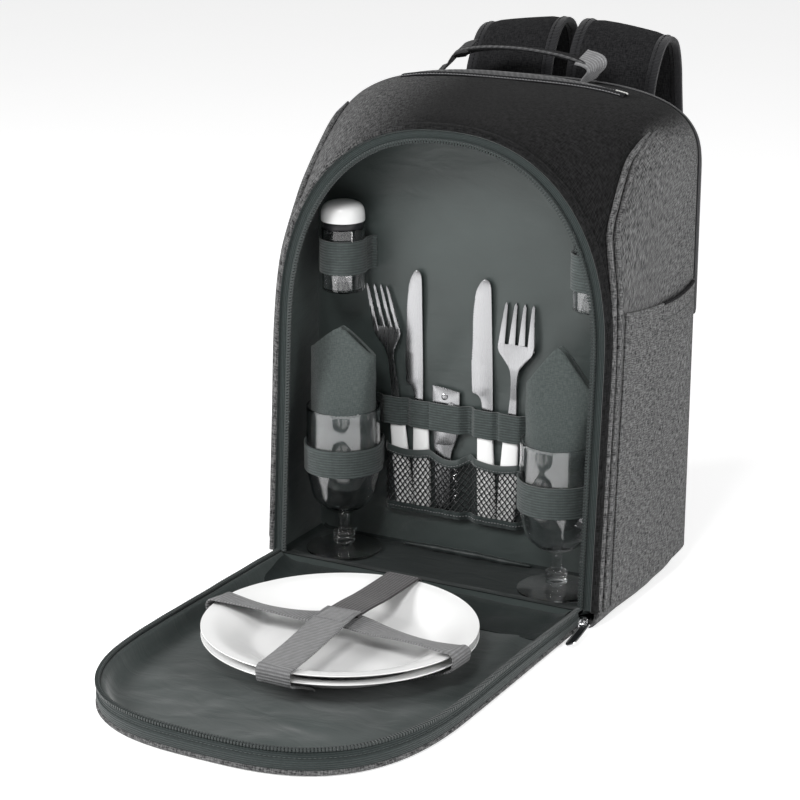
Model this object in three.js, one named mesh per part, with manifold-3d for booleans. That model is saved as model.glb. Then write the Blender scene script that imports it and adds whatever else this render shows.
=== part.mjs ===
import * as THREE from 'three';
import { mergeVertices } from 'three/addons/utils/BufferGeometryUtils.js';
import Module from 'manifold-3d';

const wasm = await Module();
wasm.setup();

// Millimetres. Z is up, the open front faces -Y, X runs to the right seen from the front.
// Depths below are counted from the lower front edge of the bag, and the whole part is
// moved at the end so that the origin lies in the middle of the base.

// Bag body
const bagDepth = 190;
const frontLean = 0.0712;
const shellWall = 3;
const seamGap = 0.3;
const backPad = 6;
// depth share, half width, top, shoulder height, roundness, lift of the base, base corner
const shellStations = [
  [0.00, 143.4, 369.0, 168.0, 2.28, 0, 7],
  [0.06, 146.0, 374.0, 160.0, 2.32, 0, 11],
  [0.22, 147.5, 380.5, 124.0, 2.55, 0, 14],
  [0.42, 148.0, 385.0, 88.0, 2.9, 0, 14],
  [0.68, 148.0, 387.0, 66.0, 3.3, 0, 14],
  [0.84, 146.5, 386.0, 62.0, 3.3, 3, 16],
  [0.94, 142.0, 381.5, 62.0, 3.0, 10, 20],
  [1.00, 134.0, 374.5, 62.0, 2.8, 20, 24],
];

// Front opening and the compartment behind it
const openHalf = 132.5;
const openLow = 8.2;
const openTop = 359.3;
const openShoulder = 158.7;
const openRound = 2.27;
const wallDepth = 75;
const linerWall = 1.5;
const floorPad = 4.6;
// depth of the ring, half width, top, shoulder height, roundness, corner of the floor
const linerStations = [
  [0, 132.5, 359.3, 158.7, 2.27, 6],
  [5, 137.0, 361.5, 158.0, 2.3, 6],
  [13, 140.5, 365.0, 150.0, 2.35, 7],
  [wallDepth, 141.0, 371.0, 110.0, 2.6, 8],
];
const tapeThick = 1.4;
const coilRadius = 1.6;
const coilLift = 0.3;

// Flap lying in front
const flapHalf = 132.5;
const flapHinge = -8;
const flapEnd = -332;
const flapRound = 157;
const flapPower = 2.9;
const flapSkin = 1.6;
const flapBandTop = 16;
const flapBandTopEnd = 18.5;
const flapLiningLift = 3.2;
const flapLiningWall = 1.3;
const hingeThick = 1.4;

// Plates and the straps across them
const plateRadius = 102;
const plateDepth = 17;
const plateWall = 2;
const plateNest = 6.5;
const plateCentreY = -139;
const plateStrapWidth = 28;
const plateStrapThick = 1.5;

// Goblets and folded napkins
const gobletX = [-99.4, 89];
const gobletY = 41.2;
const gobletFoot = 31;
const gobletBowl = 32.8;
const gobletRim = 31.4;
const gobletHeight = 122.5;
const gobletWall = 1.6;
const gobletLoopLow = [79, 77];
const gobletLoopHigh = [101, 102];
const loopThick = 1.4;
const napkinWall = 1.6;
const napkinTop = [196.5, 206];
const napkinShoulder = [176, 172];
const napkinHalf = 28.5;

// Salt and pepper shakers
const shakerX = [-107, 110];
const shakerY = 56;
const shakerLow = [222, 233];
const shakerRadius = 18;
const shakerBody = 51;
const shakerWall = 1.4;
const capHeight = 22;
const capRadius = 18.5;
const shakerLoopLow = [238, 250.5];
const shakerLoopTall = 27;

// Cutlery and opener held on the compartment wall
const wareY = 71.6;
const wareThick = 4.6;
const bladeThick = 1.8;
const bandLow = 112;
const bandHigh = 135;
const bandThick = 1.3;
const netLow = 40;
const netHigh = 94;
const netThick = 1;
const wareTop = 127;

// Handle, shoulder straps and lower webbing
const handleHalf = 62;
const handleRise = 406.5;
const handleY = 160;
const handleWidth = 26;
const handleThick = 4;
const strapX = [-31.5, 58.5];
const strapWidth = 77;
const strapRoll = 0.13;
const strapThick = 7;
const webWidth = 25;
const webThick = 1.6;
const webFootX = [-112, 112];

// Colours
const tone = {
  heather: [0x55565a, 0.95, 0],
  heatherDark: [0x2c2d30, 0.95, 0],
  satin: [0x46504f, 0.55, 0],
  tape: [0x333c3b, 0.85, 0],
  elastic: [0x4b5352, 0.9, 0],
  webbing: [0x7c7d80, 0.9, 0],
  hookTape: [0x4a4647, 0.95, 0],
  black: [0x161618, 0.9, 0],
  white: [0xf1f1ef, 0.3, 0],
  clear: [0xb9b7c4, 0.1, 0],
  napkin: [0x5c6462, 0.9, 0],
  steel: [0xc4c6c8, 0.25, 1],
  zinc: [0xb4b6b8, 0.35, 1],
  net: [0x1b1d1e, 0.9, 0],
};

const group = new THREE.Group();
group.name = 'picnic_cooler_backpack';

const lerp = (a, b, t) => a + (b - a) * t;
const clamp = (n, low, high) => Math.min(high, Math.max(low, n));
const vec = (x, y, z) => new THREE.Vector3(x, y, z);

// A closed solid, turned so that its faces look outward
function closed(points, faces) {
  let volume = 0;
  const cross = new THREE.Vector3();
  for (const [a, b, c] of faces) {
    cross.crossVectors(points[b], points[c]);
    volume += points[a].dot(cross);
  }
  const index = [];
  for (const [a, b, c] of faces) {
    if (volume > 0) index.push(a, b, c);
    else index.push(a, c, b);
  }
  const geometry = new THREE.BufferGeometry();
  const flat = points.flatMap((p) => [p.x, p.y, p.z]);
  geometry.setAttribute('position', new THREE.Float32BufferAttribute(flat, 3));
  geometry.setIndex(index);
  return geometry;
}

// Rings of equal count joined one after another; both ends capped, or joined to each other
function stack(rings, looped = false, startPoint = null, endPoint = null) {
  const points = rings.flat().map((p) => p.clone());
  const count = rings[0].length;
  const faces = [];
  const last = looped ? rings.length : rings.length - 1;
  for (let j = 0; j < last; j++) {
    const low = j * count;
    const high = ((j + 1) % rings.length) * count;
    for (let i = 0; i < count; i++) {
      const n = (i + 1) % count;
      faces.push([low + i, low + n, high + n]);
      faces.push([low + i, high + n, high + i]);
    }
  }
  if (looped) return closed(points, faces);
  const middle = (ring) => ring.reduce((s, p) => s.add(p), vec(0, 0, 0)).divideScalar(count);
  points.push(startPoint ?? middle(rings[0]));
  points.push(endPoint ?? middle(rings[rings.length - 1]));
  const start = points.length - 2;
  const end = points.length - 1;
  const tail = (rings.length - 1) * count;
  for (let i = 0; i < count; i++) {
    const n = (i + 1) % count;
    faces.push([start, n, i]);
    faces.push([end, tail + i, tail + n]);
  }
  return closed(points, faces);
}

// Cloth of even thickness laid over a grid of points; wrapped cloth closes on itself
function cloth(grid, thickness, wrap = false, lift = 0) {
  const rows = grid.length;
  const cols = grid[0].length;
  const at = (i, j) => grid[clamp(j, 0, rows - 1)][wrap ? (i + cols) % cols : clamp(i, 0, cols - 1)];
  const front = [];
  const back = [];
  for (let j = 0; j < rows; j++) {
    for (let i = 0; i < cols; i++) {
      const across = at(i + 1, j).clone().sub(at(i - 1, j));
      const along = at(i, j + 1).clone().sub(at(i, j - 1));
      const normal = across.cross(along).normalize();
      front.push(at(i, j).clone().addScaledVector(normal, lift + thickness / 2));
      back.push(at(i, j).clone().addScaledVector(normal, lift - thickness / 2));
    }
  }
  const points = [...front, ...back];
  const half = front.length;
  const faces = [];
  const wide = wrap ? cols : cols - 1;
  for (let j = 0; j < rows - 1; j++) {
    for (let i = 0; i < wide; i++) {
      const n = (i + 1) % cols;
      const a = j * cols + i;
      const b = j * cols + n;
      const c = (j + 1) * cols + n;
      const d = (j + 1) * cols + i;
      faces.push([a, b, c], [a, c, d]);
      faces.push([half + a, half + c, half + b], [half + a, half + d, half + c]);
    }
  }
  const wall = (a, b) => faces.push([a, half + a, half + b], [a, half + b, b]);
  for (let i = 0; i < wide; i++) {
    const n = (i + 1) % cols;
    wall(i, n);
    wall((rows - 1) * cols + n, (rows - 1) * cols + i);
  }
  if (!wrap) {
    for (let j = 0; j < rows - 1; j++) {
      wall((j + 1) * cols, j * cols);
      wall(j * cols + cols - 1, (j + 1) * cols + cols - 1);
    }
  }
  return closed(points, faces);
}

// A grid of points from a function of two shares
function gridOf(across, along, pointAt, wrap = false) {
  const grid = [];
  for (let j = 0; j <= along; j++) {
    const row = [];
    const cols = wrap ? across : across + 1;
    for (let i = 0; i < cols; i++) row.push(pointAt(i / across, j / along));
    grid.push(row);
  }
  return grid;
}

// A turned solid about an upright axis; the profile starts and ends on the axis
function turned(profile, sides, x, y) {
  const ring = ([r, z]) => {
    const points = [];
    for (let i = 0; i < sides; i++) {
      const a = (i / sides) * Math.PI * 2;
      points.push(vec(x + r * Math.cos(a), y + r * Math.sin(a), z));
    }
    return points;
  };
  const first = profile[0];
  const last = profile[profile.length - 1];
  const rings = profile.slice(1, -1).map(ring);
  return stack(rings, false, vec(x, y, first[1]), vec(x, y, last[1]));
}

// Points spread evenly along a smooth curve through the given ones
function smooth(points, steps) {
  const curve = new THREE.CatmullRomCurve3(points, false, 'centripetal');
  return curve.getSpacedPoints(steps);
}

// A flat strap along a path, lying across the given direction
function ribbon(path, side, width, thickness) {
  const rings = path.map((p, i) => {
    const before = path[Math.max(0, i - 1)];
    const after = path[Math.min(path.length - 1, i + 1)];
    const run = after.clone().sub(before).normalize();
    const wide = side.clone().addScaledVector(run, -side.dot(run)).normalize();
    const face = run.clone().cross(wide).normalize();
    const corner = (w, f) => {
      const point = p.clone().addScaledVector(wide, (w * width) / 2);
      return point.addScaledVector(face, (f * thickness) / 2);
    };
    return [corner(-1, -1), corner(1, -1), corner(1, 1), corner(-1, 1)];
  });
  return stack(rings);
}

// A round cord along a path
function cord(path, radius, sides = 6) {
  let up = vec(0, 0, 1);
  const rings = path.map((p, i) => {
    const before = path[Math.max(0, i - 1)];
    const after = path[Math.min(path.length - 1, i + 1)];
    const run = after.clone().sub(before).normalize();
    if (Math.abs(run.dot(up)) > 0.95) up = vec(1, 0, 0);
    const wide = up.clone().addScaledVector(run, -up.dot(run)).normalize();
    up = wide.clone();
    const face = run.clone().cross(wide);
    const ring = [];
    for (let k = 0; k < sides; k++) {
      const a = (k / sides) * Math.PI * 2;
      const point = p.clone().addScaledVector(wide, radius * Math.cos(a));
      ring.push(point.addScaledVector(face, radius * Math.sin(a)));
    }
    return ring;
  });
  return stack(rings);
}

// A flat outline in X and Z cut to a thickness along Y
function cutOut(outline, y, thickness) {
  const shape = new THREE.Shape(outline.map(([x, z]) => new THREE.Vector2(x, z)));
  const geometry = new THREE.ExtrudeGeometry(shape, { depth: thickness, bevelEnabled: false });
  geometry.rotateX(Math.PI / 2);
  geometry.translate(0, y + thickness / 2, 0);
  return geometry;
}

function block(x0, x1, y0, y1, z0, z1) {
  const geometry = new THREE.BoxGeometry(x1 - x0, y1 - y0, z1 - z0);
  geometry.translate((x0 + x1) / 2, (y0 + y1) / 2, (z0 + z1) / 2);
  return geometry;
}

function toSolid(geometry) {
  const plain = geometry.clone();
  plain.deleteAttribute('normal');
  plain.deleteAttribute('uv');
  const merged = mergeVertices(plain, 1e-4);
  return new wasm.Manifold(new wasm.Mesh({
    numProp: 3,
    vertProperties: new Float32Array(merged.attributes.position.array),
    triVerts: new Uint32Array(merged.index.array),
  }));
}

function fromSolid(solid) {
  const mesh = solid.getMesh();
  const geometry = new THREE.BufferGeometry();
  const points = new THREE.BufferAttribute(new Float32Array(mesh.vertProperties), 3);
  geometry.setAttribute('position', points);
  geometry.setIndex(new THREE.BufferAttribute(new Uint32Array(mesh.triVerts), 1));
  return geometry;
}

// Several pieces welded into one
function fuse(pieces) {
  let solid = toSolid(pieces[0]);
  for (const piece of pieces.slice(1)) solid = solid.add(toSolid(piece));
  return fromSolid(solid);
}

function addNode(name, geometry, look) {
  const [color, roughness, metalness] = tone[look];
  const plain = geometry.index ? geometry.toNonIndexed() : geometry.clone();
  plain.deleteAttribute('normal');
  plain.deleteAttribute('uv');
  const merged = mergeVertices(plain, 1e-4);
  merged.translate(0, -bagDepth / 2, 0);
  merged.computeVertexNormals();
  const mesh = new THREE.Mesh(merged, new THREE.MeshStandardMaterial({ color, roughness, metalness }));
  mesh.name = name;
  group.add(mesh);
}

// One half of an arched outline is walked from the base centre to the top centre
const baseSteps = 2;
const cornerSteps = 3;
const sideSteps = 4;
const archSteps = 12;

function archOutline(half, low, top, shoulder, power, corner) {
  const right = [];
  for (let i = 0; i < baseSteps; i++) right.push([((half - corner) * i) / baseSteps, low]);
  for (let i = 0; i <= cornerSteps; i++) {
    const a = ((i / cornerSteps) * Math.PI) / 2;
    right.push([half - corner + corner * Math.sin(a), low + corner - corner * Math.cos(a)]);
  }
  for (let i = 1; i < sideSteps; i++) {
    right.push([half, lerp(low + corner, top - shoulder, i / sideSteps)]);
  }
  for (let i = 0; i <= archSteps; i++) {
    const a = ((i / archSteps) * Math.PI) / 2;
    const x = half * Math.max(0, Math.cos(a)) ** (2 / power);
    right.push([i === archSteps ? 0 : x, top - shoulder + shoulder * Math.sin(a) ** (2 / power)]);
  }
  const left = right.slice(1, -1).reverse().map(([x, z]) => [-x, z]);
  return [...right, ...left];
}

const halfCount = baseSteps + cornerSteps + 1 + sideSteps - 1 + archSteps + 1;
const topIndex = halfCount - 1;

function leaned(z, share) {
  return frontLean * z * (1 - share) + bagDepth * share;
}

// Ring of the shell at a share of the depth, drawn in by an inset
function shellStationRing(station, inset) {
  const [share, half, top, shoulder, power, lift, corner] = station;
  const radius = Math.max(2, corner - inset);
  const outline = archOutline(half - inset, lift + inset, top - inset, shoulder - inset, power, radius);
  return outline.map(([x, z]) => vec(x, leaned(z, share), z));
}

function shellRing(share, inset = 0) {
  const last = shellStations.length - 1;
  let k = 0;
  while (k < last - 1 && share > shellStations[k + 1][0]) k++;
  const a = shellStations[k];
  const b = shellStations[k + 1];
  const t = (share - a[0]) / (b[0] - a[0]);
  const from = shellStationRing(a, inset);
  const to = shellStationRing(b, inset);
  return from.map((p, i) => p.clone().lerp(to[i], t));
}

// Point on the right or left flank of the shell at a height
function flankPoint(share, z, side, lift) {
  const ring = shellRing(share, -lift);
  const start = baseSteps + cornerSteps;
  let k = start;
  while (k < topIndex - 1 && ring[k + 1].z < z) k++;
  const t = clamp((z - ring[k].z) / (ring[k + 1].z - ring[k].z), 0, 1);
  const point = ring[k].clone().lerp(ring[k + 1], t);
  point.x *= side;
  return point;
}

function makeShell() {
  const outer = shellStations.map((s) => shellStationRing(s, 0));
  const inner = shellStations.map((s) => shellStationRing(s, shellWall)).reverse();
  return stack([...outer, ...inner], true);
}

function makeBackPanel() {
  const last = shellStations[shellStations.length - 1];
  const inset = shellWall + seamGap + 0.2;
  const [, half, top, shoulder, power, lift, corner] = last;
  const outline = archOutline(
    half - inset, lift + inset, top - inset, shoulder - inset, power, corner - inset,
  );
  const ring = (y) => outline.map(([x, z]) => vec(x, y, z));
  return stack([ring(bagDepth - backPad), ring(bagDepth)]);
}

// Strip lying on the shell between two depth shares and two places of its ring
function shellStrip(fromIndex, toIndex, shares, thickness) {
  const rows = shares.map((share) => {
    const ring = shellRing(share, 0);
    const row = [];
    for (let i = fromIndex; i <= toIndex; i++) row.push(ring[i % ring.length]);
    return row;
  });
  return cloth(rows, thickness, false, -(thickness / 2 + seamGap));
}

function linerRing(station, inset, floorInset) {
  const [depth, half, top, shoulder, power, corner] = station;
  const radius = Math.max(2, corner - inset);
  const outline = archOutline(
    half - inset, openLow + floorInset, top - inset, shoulder - inset, power, radius,
  );
  return outline.map(([x, z]) => {
    const lean = frontLean * z * (1 - depth / wallDepth);
    return vec(x, depth + lean, z);
  });
}

function makeLiner() {
  const outer = linerStations.map((s) => linerRing(s, -linerWall, -floorPad));
  outer[outer.length - 1].forEach((p) => { p.y += linerWall; });
  const inner = linerStations.map((s) => linerRing(s, 0, 0));
  const rings = [...outer.reverse(), ...inner];
  const middle = vec(0, wallDepth + linerWall, 190);
  return stack(rings, false, middle, vec(0, wallDepth, 190));
}

// The front zip tape frames the opening on both sides and over the top
function openingPath(half, top, shoulder, power, lowest) {
  const outline = archOutline(half, openLow, top, shoulder, power, 6);
  const from = baseSteps + cornerSteps;
  const count = outline.length;
  const walk = [];
  for (let i = from; i <= count - from; i++) walk.push(outline[i]);
  return walk.map(([x, z]) => [x, Math.max(z, lowest)]);
}

function makeBodyTape() {
  const [, half, top, shoulder, power] = shellStations[0];
  const lowest = openLow + 2;
  const inner = openingPath(openHalf + 0.5, openTop + 0.5, openShoulder, openRound, lowest);
  const outer = openingPath(half - 0.2, top - 0.2, shoulder, power, lowest);
  const ahead = tapeThick / 2 + seamGap;
  const rows = [inner, outer].map((row) => row.map(([x, z]) => vec(x, frontLean * z - ahead, z)));
  return cloth(rows, tapeThick);
}

function makeBodyCoil() {
  const lift = tapeThick + seamGap + coilLift + coilRadius;
  const path = openingPath(openHalf + 1, openTop + 1, openShoulder, openRound, openLow + 4);
  return cord(path.map(([x, z]) => vec(x, frontLean * z - lift, z)), coilRadius, 4);
}

// Outline of the flap from its right hinge corner round the end to the left one
const flapSideSteps = 5;
const flapEndSteps = 9;

function flapOutline(inset) {
  const half = flapHalf - inset;
  const end = flapEnd + inset;
  const bend = flapEnd + flapRound;
  const right = [];
  for (let i = 0; i < flapSideSteps; i++) right.push([half, lerp(flapHinge, bend, i / flapSideSteps)]);
  for (let i = 0; i <= flapEndSteps; i++) {
    const a = ((i / flapEndSteps) * Math.PI) / 2;
    const x = half * Math.max(0, Math.cos(a)) ** (2 / flapPower);
    right.push([i === flapEndSteps ? 0 : x, bend + (end - bend) * Math.sin(a) ** (2 / flapPower)]);
  }
  const left = right.slice(0, -1).reverse().map(([x, y]) => [-x, y]);
  return [...right, ...left];
}

function flapTopAt(y) {
  return lerp(flapBandTop, flapBandTopEnd, clamp((flapHinge - y) / (flapHinge - flapEnd), 0, 1));
}

function makeFlapOuter() {
  const outline = flapOutline(0);
  const ring = (z) => outline.map(([x, y]) => vec(x, y, z));
  return stack([ring(0), ring(flapSkin)]);
}

function makeFlapBand() {
  const outline = flapOutline(0.9);
  const low = flapSkin + seamGap;
  const rows = [0, 1].map((t) => outline.map(([x, y]) => vec(x, y, lerp(low, flapTopAt(y), t))));
  return cloth(rows, 1.4);
}

function makeFlapCoil() {
  const outline = flapOutline(coilRadius * 0.6);
  const path = outline.map(([x, y]) => vec(x, y, flapTopAt(y) + coilRadius + seamGap));
  return cord(path, coilRadius, 4);
}

function makeFlapLining() {
  const clear = 2.1;
  const outerRim = flapOutline(clear);
  const innerRim = flapOutline(clear + flapLiningWall);
  const outerFoot = flapOutline(clear + 3);
  const innerFoot = flapOutline(clear + 3 + flapLiningWall);
  const low = flapSkin + seamGap;
  const floor = low + flapLiningLift - 1.6;
  const rings = [
    outerFoot.map(([x, y]) => vec(x, y, low)),
    outerRim.map(([x, y]) => vec(x, y, low + 4)),
    outerRim.map(([x, y]) => vec(x, y, flapTopAt(y) - 1)),
    innerRim.map(([x, y]) => vec(x, y, flapTopAt(y) - 1)),
    innerRim.map(([x, y]) => vec(x, y, floor + 4)),
    innerFoot.map(([x, y]) => vec(x, y, floor)),
  ];
  return stack(rings, false, vec(0, -170, low), vec(0, -170, floor));
}

function makeHinge() {
  const half = flapHalf - 8;
  const steps = [[-0.6, 6.4], [-3.4, 5.6], [flapHinge + 0.5, 5.2]];
  const rows = steps.map(([y, z]) => [vec(-half, y, z), vec(0, y, z), vec(half, y, z)]);
  return cloth(rows, hingeThick);
}

// Rolled seam where the compartment floor meets its wall
function makeFloorSeam() {
  const radius = 2.6;
  const y = wallDepth - seamGap - radius;
  const z = openLow + seamGap + radius;
  return cord(smooth([vec(-62, y, z), vec(0, y, z), vec(54, y, z)], 8), radius);
}

// Slip pocket on a flank, its mouth dipping a little between its seams
function makeSidePocket(side) {
  const shares = [0.09, 0.22, 0.42, 0.55, 0.68, 0.84, 0.872];
  const mouthFront = 241;
  const mouthBack = 237;
  const heights = 6;
  const low = 16;
  const rows = [];
  for (let j = 0; j <= heights; j++) {
    rows.push(shares.map((share, i) => {
      const t = i / (shares.length - 1);
      const high = lerp(mouthFront, mouthBack, t) - 5 * Math.sin(Math.PI * t);
      const slack = 1.2 * Math.sin(Math.PI * t) * Math.sin((Math.PI * j) / heights / 1.6);
      return flankPoint(share, lerp(low, high, j / heights), side, 1.4 + slack);
    }));
  }
  return cloth(rows, 1.4);
}

// Raised fold along the front corner, bending back over the shoulder
function makeCornerFold(side) {
  // depth share and height of points along the fold
  const course = [
    [0.055, 78], [0.055, 150], [0.06, 220], [0.075, 275], [0.12, 312],
    [0.2, 338], [0.32, 353], [0.44, 362],
  ];
  const radius = 2.4;
  const path = course.map(([share, z]) => flankPoint(share, z, side, radius + 1));
  return cord(smooth(path, 16), radius, 5);
}

function makeRearBand() {
  const from = baseSteps + cornerSteps + 3;
  const to = topIndex * 2 - from;
  return shellStrip(from, to, [0.885, 0.94, 0.965], 2);
}

function makeTopSeam() {
  return shellStrip(topIndex - 4, topIndex + 4, [0.655, 0.68, 0.7], 1.6);
}

// Twill strip behind the top seam, widest in its middle
function makeTopTwill() {
  const reach = 4;
  const rows = [0, 1].map((edge) => {
    const row = [];
    for (let i = -reach; i <= reach; i++) {
      const bulge = Math.cos(((i / (reach + 0.4)) * Math.PI) / 2);
      const ring = shellRing(0.712 + edge * 0.07 * bulge + edge * 0.012);
      row.push(ring[topIndex + i]);
    }
    return row;
  });
  return cloth(rows, 1.6, false, -(0.8 + seamGap));
}

function handleCourse() {
  return smooth([
    vec(-handleHalf, handleY, handleRise - 10), vec(-handleHalf * 0.85, handleY, handleRise - 4),
    vec(-handleHalf * 0.5, handleY, handleRise), vec(0, handleY, handleRise + 1.5),
    vec(handleHalf * 0.5, handleY, handleRise), vec(handleHalf * 0.85, handleY, handleRise - 4),
    vec(handleHalf, handleY, handleRise - 10),
  ], 22);
}

function makeHandle() {
  const course = handleCourse().slice(1, -1);
  return ribbon(course, vec(0, 1, 0), handleWidth, handleThick);
}

// Webbing that carries one end of the handle and is sewn flat to the top of the bag
function makeHandleTab(side) {
  // place across the bag and height of points along the webbing; the handle leans to the right
  const course = side < 0
    ? [[-76, 385.2], [-69, 386], [-64.5, 389], [-61.4, 394], [-60, 399], [-59.4, 403.5]]
    : [[46, 387], [52, 387], [56.4, 389], [59.6, 393.5], [60, 399], [59.4, 403.5]];
  const path = smooth(course.map(([x, z]) => vec(x, handleY + 4, z)), 9);
  return ribbon(path, vec(0, 1, 0), 16, 1.6);
}

// Padded strap rising from the back panel, arching over and hanging behind it
function strapCourse(x) {
  const back = bagDepth + seamGap + strapThick / 2;
  // height and distance behind the back panel of the middle of the strap
  const course = [
    [318, 0], [345, 0], [372, 1], [394, 8], [412, 21],
    [418, 36], [411, 50], [388, 58], [350, 60], [300, 58],
    [250, 50], [205, 38], [172, 28],
  ];
  return smooth(course.map(([z, off]) => vec(x, back + off, z)), 22);
}

function makeStrap(k) {
  const path = strapCourse(strapX[k]);
  const last = path.length - 1;
  const rings = path.map((p, i) => {
    const before = path[Math.max(0, i - 1)];
    const after = path[Math.min(last, i + 1)];
    const run = after.clone().sub(before).normalize();
    const way = strapX[k] < 0 ? -1 : 1;
    const share = i / last;
    const roll = strapRoll * clamp((share - 0.1) / 0.1, 0, 1) * clamp((0.6 - share) / 0.2, 0, 1);
    const side = vec(1, 0, -way * roll);
    const wide = side.addScaledVector(run, -side.dot(run)).normalize();
    const face = run.clone().cross(wide);
    const taper = 1 - 0.45 * clamp((share - 0.86) / 0.14, 0, 1);
    const drift = way * 26 * clamp((share - 0.45) / 0.55, 0, 1) ** 1.5;
    const ring = [];
    const section = [
      [-1, -0.4], [-0.94, -1], [0.94, -1], [1, -0.4], [1, 0.4], [0.94, 1], [-0.94, 1], [-1, 0.4],
    ];
    for (const [w, f] of section) {
      const point = p.clone().add(vec(drift, 0, 0)).addScaledVector(wide, (w * strapWidth * taper) / 2);
      ring.push(point.addScaledVector(face, (f * strapThick) / 2));
    }
    return ring;
  });
  return stack(rings);
}

function strapEnd(k) {
  const path = strapCourse(strapX[k]);
  const end = path[path.length - 1].clone();
  end.x += strapX[k] < 0 ? -26 : 26;
  return end;
}

// Ladder buckle under the padded strap
function makeBuckle(k) {
  const end = strapEnd(k);
  const half = webWidth / 2 + 5;
  const high = end.z - 1.7;
  const low = high - 22;
  const y = end.y;
  const frame = block(end.x - half, end.x + half, y - 2.5, y + 2.5, low, high);
  let solid = toSolid(frame);
  for (const share of [0.27, 0.73]) {
    const z = lerp(low, high, share);
    const slot = block(end.x - webWidth / 2 - 1, end.x + webWidth / 2 + 1, y - 4, y + 4, z - 1.5, z + 1.5);
    solid = solid.subtract(toSolid(slot));
  }
  return fromSolid(solid);
}

// Webbing from the buckle to the lower corner of the back panel
function makeLowerWeb(k) {
  const end = strapEnd(k);
  const top = end.z - 29.7;
  const back = bagDepth + seamGap * 2 + webThick / 2;
  const foot = webFootX[k];
  const path = smooth([
    vec(end.x, end.y, top), vec(lerp(end.x, foot, 0.35), end.y - 3, top - 34),
    vec(lerp(end.x, foot, 0.75), back + 7, 84), vec(foot, back, 58), vec(foot, back, 36),
  ], 12);
  return ribbon(path, vec(1, 0, 0), webWidth, webThick);
}

// Plate with a flat base, a curved flank and a broad rim
function makePlate(lift) {
  const inner = plateRadius - 34;
  const profile = [
    [0, lift], [inner - 8, lift], [inner, lift + 1.2], [inner + 12, lift + 8],
    [plateRadius - 10, lift + plateDepth - 3.6], [plateRadius, lift + plateDepth - 1],
    [plateRadius, lift + plateDepth], [plateRadius - 10.5, lift + plateDepth - 1.6],
    [inner + 10.5, lift + 8 + plateWall], [inner - 1, lift + 1.2 + plateWall],
    [inner - 9, lift + plateWall], [0, lift + plateWall],
  ];
  return turned(profile, 30, 0, plateCentreY);
}

const liningFloor = flapSkin + seamGap + flapLiningLift - 1.6;
const plateLow = liningFloor + seamGap;
const rimHigh = plateLow + plateNest + plateDepth;

// A plate strap rises from the lining under the rim and turns over it
const strapOver = rimHigh + seamGap + plateStrapThick / 2 + 0.2;
const strapRoot = liningFloor + seamGap + plateStrapThick / 2 + 0.2;
const strapEdge = plateRadius + 2.4;

// Distance beyond the edge and height of the rising end of a strap
const riseCourse = [
  [-34, strapRoot], [-24, strapRoot + 3.6], [-12, strapRoot + 8.6],
  [-1.6, strapRoot + 12.4], [0.1, strapOver - 5],
  [-0.1, strapOver - 1.6], [-2.6, strapOver + 0.9], [-9, strapOver + 0.9],
];

// The strap across the plates from left to right, slack between the rims
function makeCrossStrap() {
  const y = plateCentreY;
  const left = riseCourse.map(([out, z]) => vec(-strapEdge - out, y - 4, z));
  const right = riseCourse.map(([out, z]) => vec(strapEdge + out, y - 10, z)).reverse();
  const path = smooth([
    ...left, vec(-70, y - 2, strapOver - 2), vec(-35, y + 2, strapOver - 3),
    vec(0, y + 5, strapOver - 1), vec(35, y + 1, strapOver - 3), vec(70, y - 6, strapOver - 1.5),
    ...right,
  ], 44);
  return ribbon(path, vec(0, 1, 0), plateStrapWidth, plateStrapThick);
}

// The strap from front to back in two parts, the front part lapped on top
function makeLongStrap(front) {
  const y = plateCentreY;
  const lap = strapOver + 2.6;
  const way = front ? -1 : 1;
  const root = front ? 6 : -2;
  const rise = riseCourse.map(([out, z]) => vec(root, y + way * (strapEdge + out), z));
  // place across, distance behind the middle of the plates and lift above the lap
  const course = front
    ? [[3, -60, -1], [-1, -16, 1.6], [-3, 2, 1.8], [-3.5, 12, 1.6]]
    : [[-3, 60, -2], [-3.5, 24, -0.8], [-3.5, 10, -0.6]];
  const onward = course.map(([x, behind, lift]) => vec(x, y + behind, lap + lift));
  return ribbon(smooth([...rise, ...onward], 26), vec(1, 0, 0), plateStrapWidth, plateStrapThick);
}

function makeGoblet(k) {
  const low = openLow + seamGap;
  const top = low + gobletHeight;
  const bowlOut = [[5, 31], [15, 36], [24, 45], [30, 58], [gobletBowl, 76], [gobletBowl, 96]];
  const outer = bowlOut.map(([r, z]) => [r, low + z]);
  const inner = bowlOut.slice(1).reverse().map(([r, z]) => [r - gobletWall, low + z + 0.6]);
  const profile = [
    [0, low], [gobletFoot, low], [gobletFoot, low + 1.4], [10, low + 3.4], [4.5, low + 5],
    [8.5, low + 6], [8.5, low + 15], [4, low + 16.5], ...outer,
    [gobletRim, top], [gobletRim - gobletWall, top], ...inner, [0, low + 36.6],
  ];
  return turned(profile, 16, gobletX[k], gobletY);
}

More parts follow.
